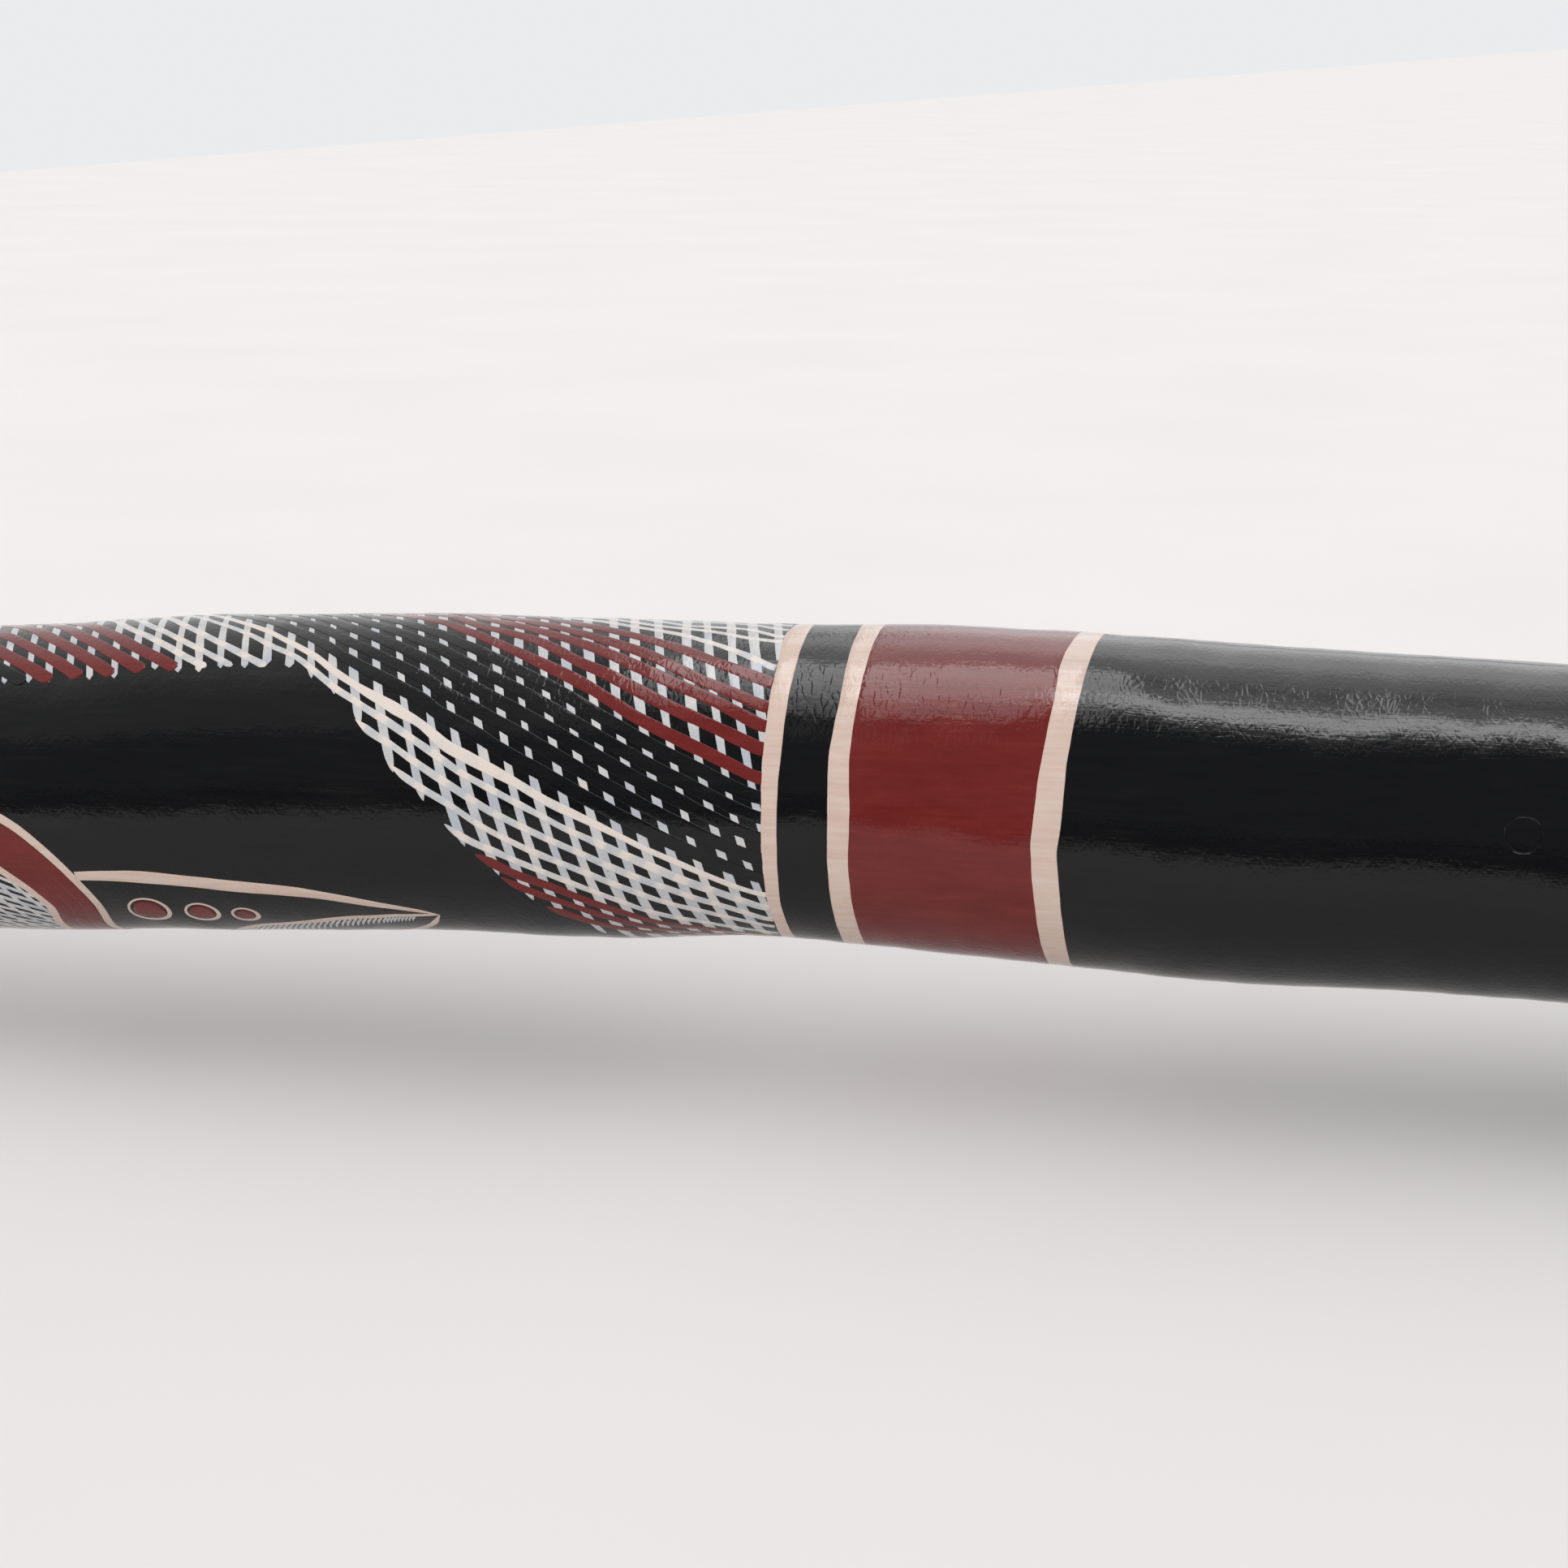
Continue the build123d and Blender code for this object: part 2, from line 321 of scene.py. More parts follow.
def brushed_paint(name, tones, streak_share):
    """Opaque paint: three tones over patches, with fine streaks along the tube."""
    material, nodes, shader = new_material(name)
    patches = nodes.noise((90, 300, 300), detail=4.0, rough=0.62)
    streaks = nodes.noise((60, 1100, 1100), detail=4.0, rough=0.65)
    tone = nodes.weighted(patches, 1 - streak_share, streaks, streak_share)
    nodes.plug(nodes.ramp(tone, list(zip((0.34, 0.50, 0.66), tones))),
               shader.inputs["Base Color"])
    varnish(nodes, shader)
    return material


def thin_white():
    """Cool grey-white where the coat attribute is low, warmer full white where it is high."""
    material, nodes, shader = new_material("paint_white_thin")
    coat = nodes.add("Attribute", attribute_name="coat")
    mottle = nodes.noise((300, 300, 300), detail=3.0, rough=0.6)
    tone = nodes.math("ADD", coat.outputs["Fac"],
                      nodes.map_range(mottle, source=(0.3, 0.7), target=(-0.22, 0.22)))
    colour = nodes.ramp(tone, [(0.0, srgb(172, 176, 183)), (0.40, srgb(193, 191, 190)),
                               (0.85, srgb(215, 204, 195))])
    nodes.plug(colour, shader.inputs["Base Color"])
    varnish(nodes, shader)
    return material


def bare_wood():
    material, nodes, shader = new_material("bare_wood_inside")
    grain = nodes.noise((14, 420, 420), detail=5.0, rough=0.62, distortion=0.3)
    patches = nodes.noise((60, 60, 60), detail=3.0, rough=0.5)
    tone = nodes.weighted(grain, 0.7, patches, 0.3)
    colour = nodes.ramp(tone, [(0.33, srgb(92, 58, 34)), (0.5, srgb(142, 98, 60)),
                               (0.66, srgb(176, 130, 86))])
    nodes.plug(colour, shader.inputs["Base Color"])
    shader.inputs["Roughness"].default_value = 0.72
    nodes.plug(nodes.bump(grain, strength=0.6, distance=0.0004), shader.inputs["Normal"])
    return material


def beeswax():
    material, nodes, shader = new_material("beeswax")
    patches = nodes.noise((70, 70, 70), detail=4.0, rough=0.55)
    colour = nodes.ramp(patches, [(0.30, srgb(150, 104, 44)), (0.52, srgb(186, 138, 66)),
                                  (0.72, srgb(205, 162, 92))])
    nodes.plug(colour, shader.inputs["Base Color"])
    shader.inputs["Roughness"].default_value = 0.42
    shader.inputs["Subsurface Weight"].default_value = 0.12
    shader.inputs["Subsurface Radius"].default_value = (0.004, 0.002, 0.001)
    dents = nodes.noise((240, 240, 240), detail=2.0, rough=0.5)
    nodes.plug(nodes.bump(dents, strength=0.5, distance=0.0005), shader.inputs["Normal"])
    return material


def cured_glue():
    material, nodes, shader = new_material("cured_glue")
    patches = nodes.noise((200, 500, 500), detail=3.0, rough=0.5)
    colour = nodes.ramp(patches, [(0.35, srgb(104, 74, 36)), (0.65, srgb(168, 128, 70))])
    nodes.plug(colour, shader.inputs["Base Color"])
    shader.inputs["Roughness"].default_value = 0.4
    return material


BLACK = lacquered_black()
CREAM = brushed_paint("paint_cream", [srgb(193, 168, 154), srgb(201, 179, 167),
                                      srgb(206, 188, 178)], streak_share=0.55)
RED = brushed_paint("paint_red", [srgb(96, 30, 28), srgb(103, 35, 33), srgb(111, 40, 38)],
                    streak_share=0.4)
WHITE = thin_white()
BLACK_STROKE = brushed_paint("paint_black_stroke", [
    (0.0040, 0.0043, 0.0049, 1), (0.0060, 0.0062, 0.0069, 1), (0.0098, 0.0098, 0.0102, 1)],
    streak_share=0.4)
WOOD, WAX, GLUE = bare_wood(), beeswax(), cured_glue()


# ---- mesh helpers -----------------------------------------------------------------------
def link_object(name, data):
    obj = bpy.data.objects.new(name, data)
    scene.collection.objects.link(obj)
    return obj


def make(name, verts, faces, materials, face_material=None, smooth_shade=True, coat=None):
    """A mesh object from points in mm, with its faces turned outwards."""
    mesh = bpy.data.meshes.new(name)
    points = (np.asarray(verts, float) + SHIFT) * MM
    mesh.from_pydata(points.tolist(), [], [tuple(int(i) for i in face) for face in faces])
    for material in materials:
        mesh.materials.append(material)
    if face_material is not None:
        mesh.polygons.foreach_set("material_index", np.asarray(face_material, np.int32))
    mesh.polygons.foreach_set("use_smooth", np.full(len(mesh.polygons), smooth_shade))
    if coat is not None:
        attribute = mesh.attributes.new("coat", "FLOAT", "POINT")
        attribute.data.foreach_set("value", np.asarray(coat, np.float32))
    mesh.update()
    obj = link_object(name, mesh)
    work = bmesh.new()
    work.from_mesh(mesh)
    bmesh.ops.recalc_face_normals(work, faces=work.faces)
    work.to_mesh(mesh)
    work.free()
    mesh.update()
    return obj


def register(obj, slot_name, *replaced):
    if replaced:
        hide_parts(*replaced)
    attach(obj, "root")


def mark_sharp_edges(obj, degrees):
    work = bmesh.new()
    work.from_mesh(obj.data)
    for edge in work.edges:
        if len(edge.link_faces) == 2 and edge.calc_face_angle(0) > math.radians(degrees):
            edge.smooth = False
    work.to_mesh(obj.data)
    work.free()


def sweep_faces(sections, points, closed=False):
    """Quads joining successive closed sections; closed joins the last to the first."""
    faces = []
    for i in range(sections if closed else sections - 1):
        here, there = i * points, (i + 1) % sections * points
        for j in range(points):
            k = (j + 1) % points
            faces.append((here + j, here + k, there + k, there + j))
    return faces


# ---- wooden halves ----------------------------------------------------------------------
def stations():
    """X of the cross-sections: closest at the bell edge, and 1 mm apart from 62 to 385."""
    found = [X_BELL, X_BELL + 0.35, X_BELL + 1.0, X_BELL + 2.2]
    x = X_BELL + 4
    while x < X_MOUTH - 0.5:
        found.append(x)
        x += 1.0 if 62 <= x <= 384 else 2.0
    found.append(X_MOUTH)
    return np.array(found)


STATIONS = stations()
SKIN_POINTS, BORE_POINTS = 112, 26


def half_shell(name, side):
    """One half as a closed mesh: skin, bore, joint faces and ends. side is -1 front, 1 back."""
    verts = []
    for x in STATIONS:
        rounding = bell_rounding(x)
        joint = -joint_off(x) - side * GLUE_T / 2
        skin_top, skin_low, bore_top, bore_low = [
            math.acos(joint / float(radius(x, phi)))
            for radius in (outer_r, bore_r) for phi in (TOP, UNDERSIDE)]
        if side < 0:
            skin_phi = np.linspace(-skin_low, skin_top, SKIN_POINTS)
            bore_phi = np.linspace(bore_top, -bore_low, BORE_POINTS)
        else:
            skin_phi = np.linspace(skin_top, 2 * math.pi - skin_low, SKIN_POINTS)
            bore_phi = np.linspace(2 * math.pi - bore_low, bore_top, BORE_POINTS)
        verts.extend(on_skin(np.full(SKIN_POINTS, x), skin_phi, -rounding).tolist())
        gouge = (0.35 * np.sin(0.21 * x + 2 * bore_phi) * np.sin(5 * bore_phi + 0.05 * x)
                 * smooth(-600, -590, x) * (1 - smooth(560, 575, x)))
        bore_x = np.full(BORE_POINTS, x)
        radius = bore_r(bore_x, bore_phi) + gouge + rounding
        verts.extend(to_xyz(bore_x, bore_phi, radius).tolist())
    points = SKIN_POINTS + BORE_POINTS
    faces = sweep_faces(len(STATIONS), points)
    section = [0] * (SKIN_POINTS - 1) + [1] * (BORE_POINTS + 1)
    face_material = section * (len(STATIONS) - 1)
    # end grain: each bore point serves several skin points
    for base, flip in ((0, False), ((len(STATIONS) - 1) * points, True)):
        bore_0 = 0
        for j in range(SKIN_POINTS - 1):
            bore_1 = int(round((j + 1) * (BORE_POINTS - 1) / (SKIN_POINTS - 1)))
            steps = [bore_0] if bore_1 == bore_0 else [bore_0, bore_1]
            face = [base + j, *(base + points - 1 - q for q in steps), base + j + 1]
            faces.append(tuple(reversed(face)) if flip else tuple(face))
            face_material.append(1)
            bore_0 = bore_1
    half = make(name, verts, faces, [BLACK, WOOD], face_material)
    mark_sharp_edges(half, 50)
    return half


# ---- knot plug --------------------------------------------------------------------------
PLUG_CENTRE = Vector((PLUG_X * MM, float(curve(AXIS_Y, PLUG_X)) * MM,
                      float(curve(AXIS_Z, PLUG_X)) * MM))      # on the tube's axis, metres
PLUG_AXIS = Vector((0, -math.cos(PLUG_PHI), math.sin(PLUG_PHI)))
PLUG_SIDES = 48


def plug_mesh(name, radius, inner, proud, rings):
    """Closed round plug. inner is its inner end's distance from the tube's axis, and
    proud gives the height of its face over the skin from the distance to its centre."""
    across = np.array([1.0, 0, 0])
    outward = np.array(PLUG_AXIS)
    upward = np.cross(outward, across)
    centre = np.array(PLUG_CENTRE) / MM

    def skin_point(along, up):
        """Step along the plug's axis until the skin is reached."""
        x = PLUG_X + along
        base = centre + across * along + upward * up
        reach = 30.0
        for _ in range(6):
            point = base + outward * reach
            y = point[1] - float(curve(AXIS_Y, x))
            z = point[2] - float(curve(AXIS_Z, x))
            reach += float(skin_r(x, math.atan2(z, -y))) - math.hypot(y, z)
        return base + outward * reach

    angles = [2 * math.pi * s / PLUG_SIDES for s in range(PLUG_SIDES)]
    verts = [skin_point(0, 0) + outward * proud(0)]
    for k in range(1, rings + 1):
        ring = radius * k / rings
        for angle in angles:
            verts.append(skin_point(ring * math.cos(angle), ring * math.sin(angle))
                         + outward * proud(ring))
    rim = 1 + (rings - 1) * PLUG_SIDES
    foot = len(verts)
    for angle in angles:
        verts.append(centre + across * radius * math.cos(angle)
                     + upward * radius * math.sin(angle) + outward * inner)
    verts.append(centre + outward * inner)

    pairs = [(s, (s + 1) % PLUG_SIDES) for s in range(PLUG_SIDES)]
    faces = [(0, 1 + s, 1 + t) for s, t in pairs]
    for k in range(1, rings):
        near = 1 + (k - 1) * PLUG_SIDES
        far = near + PLUG_SIDES
        faces += [(near + s, far + s, far + t, near + t) for s, t in pairs]
    faces += [(rim + s, foot + s, foot + t, rim + t) for s, t in pairs]
    faces += [(foot + t, foot + s, len(verts) - 1) for s, t in pairs]
    return make(name, verts, faces, [BLACK])


def cut_knot_hole(half):
    cutter = plug_mesh("cutter_tmp", PLUG_R + 0.02, inner=12.0, proud=lambda r: 6.0, rings=2)
    cut = half.modifiers.new("knot_hole", "BOOLEAN")
    cut.object = cutter
    cut.operation = "DIFFERENCE"
    cut.solver = "EXACT"
    depsgraph = bpy.context.evaluated_depsgraph_get()
    cut_mesh = bpy.data.meshes.new_from_object(half.evaluated_get(depsgraph))
    half.modifiers.clear()
    whole_mesh = half.data
    half.data = cut_mesh
    bpy.data.meshes.remove(whole_mesh)
    bpy.data.objects.remove(cutter)


def plug_face(distance):
    """A slightly sunk face: a groove at the rim, a faint swelling in the middle."""
    return (-0.012 - 0.05 * math.exp(-((PLUG_R - distance) / 0.35) ** 2)
            + 0.015 * math.exp(-(distance / 1.6) ** 2))


front = half_shell("wood_half_front", -1)
back = half_shell("wood_half_back", 1)
cut_knot_hole(front)
register(front, "lacquered_wood", "shell_front")
register(back, "lacquered_wood", "shell_back")
plug = plug_mesh("knot_plug_fill", PLUG_R, inner=float(bore_r(PLUG_X, PLUG_PHI)) + 0.3,
                 proud=plug_face, rings=14)
register(plug, "filler", "knot_plug")


# ---- glue lines -------------------------------------------------------------------------
def glue_line(name, replaced, phi):
    """Bar of glue filling the joint at the top or the underside."""
    xs = np.unique(np.append(STATIONS[::2], STATIONS[-1]))
    up = 1 if phi > 0 else -1
    half = GLUE_T / 2
    verts = []
    for x in xs:
        offset = float(joint_off(x))
        outer = float(skin_r(x, phi)) - 0.02 - bell_rounding(x)
        inner = float(bore_r(x, phi)) + 0.05 + bell_rounding(x)
        y = float(curve(AXIS_Y, x)) + offset
        z = float(curve(AXIS_Z, x))
        z_out = z + up * math.sqrt(outer * outer - offset * offset)
        z_in = z + up * math.sqrt(inner * inner - offset * offset)
        verts += [(x, y - half, z_in), (x, y - half, z_out),
                  (x, y + half, z_out), (x, y + half, z_in)]
    end = len(verts) - 4
    faces = sweep_faces(len(xs), 4) + [(3, 2, 1, 0), (end, end + 1, end + 2, end + 3)]
    # the outer edge of the joint is under the black paint
    face_material = [0, 1, 0, 0] * (len(xs) - 1) + [0, 0]
    bar = make(name, verts, faces, [GLUE, BLACK], face_material, smooth_shade=False)
    register(bar, "wood_glue", replaced)


glue_line("glue_line_upper", "seam_glue_upper", TOP)
glue_line("glue_line_lower", "seam_glue_lower", UNDERSIDE)


# ---- beeswax mouthpiece -----------------------------------------------------------------
WAX_HOLE_R = 14.5
WAX_SIDES = 120


def wax_profile(wood, hole):
    """(X, radius, share of the wander) round the ring's section, from inside the bore."""
    outer = wood + 1.8
    x_end, x_inside, x_lap = X_MOUTH + 5.0, X_MOUTH - 26.0, X_MOUTH - 9.0
    lip_r = WAX_HOLE_R + 3.2              # where the rounded inner lip meets the end face
    round_r = 4.6                         # radial size of the outer rounding
    profile = [(x_inside, hole + 0.15, 0), (x_inside, WAX_HOLE_R + 1.2, 0),
               (x_inside + 1.5, WAX_HOLE_R + 0.5, 0), (x_inside + 4, WAX_HOLE_R, 0)]
    profile += [(x, WAX_HOLE_R, 0) for x in np.linspace(x_inside + 6, x_end - 3, 7)]
    for angle in np.radians(np.linspace(10, 90, 7)):
        profile.append((x_end - 3 + 3 * math.sin(angle),
                        WAX_HOLE_R + 3.2 * (1 - math.cos(angle)), 0.35))
    for t in np.linspace(0.2, 1.0, 4):
        profile.append((x_end - 0.2 * t, lip_r + (outer - round_r - lip_r) * t, 0.5))
    for angle in np.radians(np.linspace(12, 90, 7)):
        profile.append((x_end - 0.2 - 5.0 * (1 - math.cos(angle)),
                        outer - round_r + round_r * math.sin(angle), 1.0))
    profile += [(x_end - 7, outer - 0.05, 1), (x_end - 9, outer - 0.2, 1),
                (x_lap + 2.4, outer - 0.35, 1), (x_lap + 1.2, outer - 0.6, 1),
                (x_lap + 0.4, outer - 1.0, 1), (x_lap + 0.1, wood + 0.05, 0.4)]
    # back under the lap to the wood, then over the sawn end and down the hole
    profile += [(x_lap + 0.5, wood - 0.1, 0), (X_MOUTH - 0.4, wood - 0.1, 0),
                (X_MOUTH + 0.05, wood - 0.4, 0), (X_MOUTH + 0.05, hole + 0.3, 0),
                (X_MOUTH - 0.3, hole + 0.15, 0)]
    return profile


def wax_ring():
    """The wax section swept round the mouth end; its radius and edges wander a little."""
    wood = float(outer_r(X_MOUTH, 0.0))
    profile = wax_profile(wood, float(bore_r(X_MOUTH, 0.0)))
    y, z = float(curve(AXIS_Y, X_MOUTH)), float(curve(AXIS_Z, X_MOUTH))
    verts = []
    for s in range(WAX_SIDES):
        angle = 2 * math.pi * s / WAX_SIDES
        swell = (0.22 * math.sin(3 * angle + 0.4) + 0.16 * math.sin(7 * angle + 2.0)
                 + 0.10 * math.sin(13 * angle))
        lap_shift = 0.5 * math.sin(4 * angle + 1.0) + 0.35 * math.sin(9 * angle + 0.3)
        lip_shift = 0.35 * math.sin(5 * angle + 0.7)
        for x, base_radius, share in profile:
            radius = base_radius + share * swell
            moved = x
            if x < X_MOUTH - 4 and base_radius > wood:
                moved = x + lap_shift
            elif x > X_MOUTH + 2:
                moved = x - share * lip_shift
            verts.append((moved, y - radius * math.cos(angle), z + radius * math.sin(angle)))
    faces = sweep_faces(WAX_SIDES, len(profile), closed=True)
    register(make("beeswax_mouthpiece", verts, faces, [WAX]), "beeswax", "mouthpiece_wax")


wax_ring()

# ---- painting on the skin ---------------------------------------------------------------
# Sheet coordinates: X along the tube, A = arc length in mm, from 0 near the top down the front.
DEG_PER_A = 180.0 / 97.36
TURN = 360.0 / DEG_PER_A
PAINT_SINK = 0.22                         # depth of every stroke's underside below the skin


def phi_of(a):
    return np.radians(103.0 - a * DEG_PER_A)


def lengths_along(path):
    return np.concatenate([[0], np.cumsum(np.hypot(*np.diff(path, axis=0).T))])


def resample(path, step):
    """Round a polyline off with a Catmull-Rom curve and space its points evenly."""
    p = np.asarray(path, float)
    q = np.vstack([2 * p[0] - p[1], p, 2 * p[-1] - p[-2]])
    t = np.linspace(0, 1, 12, endpoint=False)[:, None]
    pieces = []
    for i in range(len(p) - 1):
        a, b, c, d = q[i:i + 4]
        pieces.append(0.5 * (2 * b + (c - a) * t + (2 * a - 5 * b + 4 * c - d) * t ** 2
                             + (3 * b - a - 3 * c + d) * t ** 3))
    fine = np.vstack(pieces + [p[-1:]])
    lengths = lengths_along(fine)
    even = np.linspace(0, lengths[-1], max(3, int(lengths[-1] / step) + 1))
    return np.stack([np.interp(even, lengths, fine[:, 0]),
                     np.interp(even, lengths, fine[:, 1])], 1)


def wobble(rng, count, amount, knots):
    """Slow random variation along a stroke."""
    knots = max(3, int(knots))
    values = rng.uniform(-1, 1, knots)
    x = np.linspace(0, knots - 1, count)
    i = np.minimum(x.astype(int), knots - 2)
    t = x - i
    t = t * t * (3 - 2 * t)
    return amount * (values[i] * (1 - t) + values[i + 1] * t)


def taper(distance, length, least, power):
    """Width factor that grows from least to 1 over the length from a stroke's end."""
    return least + (1 - least) * np.clip(distance / length, 0, 1) ** power


def normals(tangents):
    return np.stack([-tangents[:, 1], tangents[:, 0]], 1)


class Paint:
    """Collects the strips and patches of one colour and layer into one mesh."""

    def __init__(self, name, material, height, rounded=True):
        self.name, self.material, self.height, self.rounded = name, material, height, rounded
        self.verts, self.quads, self.tris, self.coats, self.count = [], [], [], [], 0

    def strip(self, path, width, coat, closed=False):
        """path (n, 2) in sheet coordinates, full widths (n,) in mm, coat (n,)."""
        n = len(path)
        if closed:
            tangents = np.roll(path, -1, 0) - np.roll(path, 1, 0)
        else:
            tangents = np.gradient(path, axis=0)
        tangents /= np.maximum(np.hypot(tangents[:, 0], tangents[:, 1]), 1e-9)[:, None]
        across = normals(tangents)
        half = (width / 2)[:, None]
        flat = half - np.minimum(0.12, half * 0.3)
        section = [(-half, 0.0), (-flat, self.height)]
        if self.rounded:
            section += [(flat * share, self.height) for share in (-0.5, 0.0, 0.5)]
        section += [(flat, self.height), (half, 0.0),
                    (half * 0.55, -PAINT_SINK), (-half * 0.55, -PAINT_SINK)]
        rows = []
        for offset, height in section:
            points = path + across * offset
            rows.append(on_skin(points[:, 0], phi_of(points[:, 1]), height))
        m = len(section)
        self.verts.append(np.stack(rows, 1).reshape(-1, 3))
        self.coats.append(np.repeat(coat, m))
        base = self.count
        here = base + np.arange(n if closed else n - 1) * m
        there = base + (np.arange(len(here)) + 1) % n * m
        for j in range(m):
            k = (j + 1) % m
            self.quads.append(np.stack([here + j, here + k, there + k, there + j], 1))
        if not closed:
            end = base + (n - 1) * m
            for q in range(1, m - 1):
                self.tris.append((base, base + q + 1, base + q))
                self.tris.append((end, end + q, end + q + 1))
        self.count += n * m

    def patch(self, outline, sides=40, rings=6):
        """A filled round patch: outline(angle, share) gives a sheet point."""
        centre = np.array(outline(0.0, 0.0))
        points = np.array([centre] + [outline(2 * math.pi * s / sides, k / rings)
                                      for k in range(1, rings + 1) for s in range(sides)])
        height = np.full(len(points), self.height)
        height[-sides:] = 0.0
        under = np.vstack([0.6 * (points[-sides:] - centre) + centre, centre])
        top = on_skin(points[:, 0], phi_of(points[:, 1]), height)
        bottom = on_skin(under[:, 0], phi_of(under[:, 1]), -PAINT_SINK)
        self.verts += [top, bottom]
        base = self.count
        rim, foot = base + 1 + (rings - 1) * sides, base + len(top)
        quads = []
        for s in range(sides):
            k = (s + 1) % sides
            self.tris.append((base, base + 1 + s, base + 1 + k))
            for r in range(1, rings):
                ring = base + 1 + (r - 1) * sides
                quads.append((ring + s, ring + sides + s, ring + sides + k, ring + k))
            quads.append((rim + s, foot + s, foot + k, rim + k))
            self.tris.append((foot + s, foot + sides, foot + k))
        self.quads.append(np.array(quads))
        added = len(top) + len(bottom)
        self.coats.append(np.full(added, 0.9))
        self.count += added

    def build(self):
        faces = [tuple(quad) for group in self.quads for quad in group.tolist()] + self.tris
        painted = make(self.name, np.vstack(self.verts), faces, [self.material],
                       coat=np.concatenate(self.coats))
        register(painted, "lacquered_wood")


# ---- bands round the tube ---------------------------------------------------------------
# edges of the bands on the +X side, as (A, X) down the front
INNER_LEFT = [
    (3.3, 232.2), (13.3, 231.4), (23.2, 231.9), (33.3, 231.5), (43.6, 231.3), (54.0, 231.3),
    (64.5, 231.2), (74.6, 231.4), (84.3, 231.9)]
INNER_RIGHT = [
    (3.2, 235.6), (13.2, 235.5), (23.1, 235.3), (33.2, 235.0), (43.5, 234.8), (54.0, 234.3),
    (64.5, 234.1), (74.7, 233.9), (84.4, 234.3)]
MIDDLE_LEFT = [
    (2.9, 244.7), (13.0, 244.9), (23.0, 244.7), (33.1, 244.4), (43.5, 243.5), (54.0, 243.7),
    (64.4, 243.5), (74.7, 243.5), (84.4, 243.9)]
MIDDLE_RIGHT = [
    (2.9, 249.2), (13.0, 248.8), (23.0, 248.4), (33.1, 247.9), (43.4, 247.5), (53.9, 247.9),
    (64.4, 247.5), (74.6, 247.6), (84.4, 248.0)]
OUTER_LEFT = [
    (3.6, 286.2), (9.9, 285.6), (16.2, 284.6), (23.0, 283.7), (28.9, 283.6), (36.0, 282.8),
    (43.2, 281.9), (51.6, 281.4), (57.8, 280.8), (64.0, 281.1), (74.1, 281.7), (83.7, 282.2)]
OUTER_RIGHT = [
    (3.4, 290.6), (13.3, 289.9), (22.9, 288.7), (32.9, 287.8), (43.2, 286.9), (53.6, 286.3),
    (58.3, 285.6), (63.9, 285.9), (74.0, 286.4), (83.6, 286.9)]
BAND_POINTS = 360


def hann_window(count):
    window = np.hanning(count)
    return window / window.sum()


def band_edge(rng, arc, edge, waver):
    """X round the tube: edge is one X, or (A, X) rows joined smoothly round the back."""
    if isinstance(edge, float):
        base = np.full(BAND_POINTS, edge)
        for m in (1, 2, 3):
            base += 0.5 / m * np.cos(2 * math.pi * m * arc / TURN + rng.uniform(0, 6.28))
    else:
        table = np.array(edge, float)
        depths = np.concatenate([table[-3:, 0] - TURN, table[:, 0], table[:3, 0] + TURN])
        places = np.concatenate([table[-3:, 1], table[:, 1], table[:3, 1]])
        base = np.interp(arc, depths, places)
        base = np.convolve(np.concatenate([base[-4:], base, base[:4]]), hann_window(9),
                           mode="valid")
    around = np.linspace(0, 2 * math.pi, BAND_POINTS, endpoint=False)
    ripple = np.zeros(BAND_POINTS)
    for m in (3, 5, 8, 13, 21, 34):
        ripple += (rng.uniform(0.4, 1.0) * np.cos(m * around + rng.uniform(0, 6.28))
                   / (m ** 0.45))
    return base + waver * ripple


def band(name, material, left, right, seed, waver=0.10, grow=0.0):
    rng = np.random.default_rng(seed)
    arc = np.linspace(0, TURN, BAND_POINTS, endpoint=False)
    x_left = band_edge(rng, arc, left, waver) - grow
    x_right = band_edge(rng, arc, right, waver) + grow
    width = float(np.mean(x_right - x_left))
    steps = max(3, int(width / 1.3))
    bevel = min(0.16, 0.2 * width) / width
    height = 0.03 if material is RED else 0.05
    section = [(0.02, -PAINT_SINK), (0.0, 0.0)]
    section += [(bevel + (1 - 2 * bevel) * i / steps, height) for i in range(steps + 1)]
    section += [(1.0, 0.0), (0.98, -PAINT_SINK)]
    rows = [on_skin(x_left + (x_right - x_left) * share, phi_of(arc), lift)
            for share, lift in section]
    m = len(section)
    painted = make(name, np.stack(rows, 1).reshape(-1, 3),
                   sweep_faces(BAND_POINTS, m, closed=True), [material],
                   coat=np.full(BAND_POINTS * m, 0.9))
    register(painted, "lacquered_wood")


# this band reaches a little under the cream bands on both sides
band("band_red_right", RED, MIDDLE_RIGHT, OUTER_LEFT, seed=3, waver=0.0, grow=0.4)
# (name, paint, left edge, right edge, seed)
for entry in [
        ("band_cream_inner_right", CREAM, INNER_LEFT, INNER_RIGHT, 1),
        ("band_cream_middle_right", CREAM, MIDDLE_LEFT, MIDDLE_RIGHT, 2),
        ("band_cream_outer_right", CREAM, OUTER_LEFT, OUTER_RIGHT, 4),
        ("band_red_left", RED, -468.6, -432.3, 7),
        ("band_cream_inner_left", CREAM, -419.2, -415.0, 5),
        ("band_cream_middle_left", CREAM, -433.4, -428.5, 6),
        ("band_cream_outer_left", CREAM, -474.0, -467.8, 8),
        ("band_red_mouth", RED, 539.4, 556.8, 10),
        ("band_cream_mouth_inner", CREAM, 535.6, 540.2, 9),
        ("band_cream_mouth_outer", CREAM, 556.2, 560.6, 11)]:
    band(*entry)

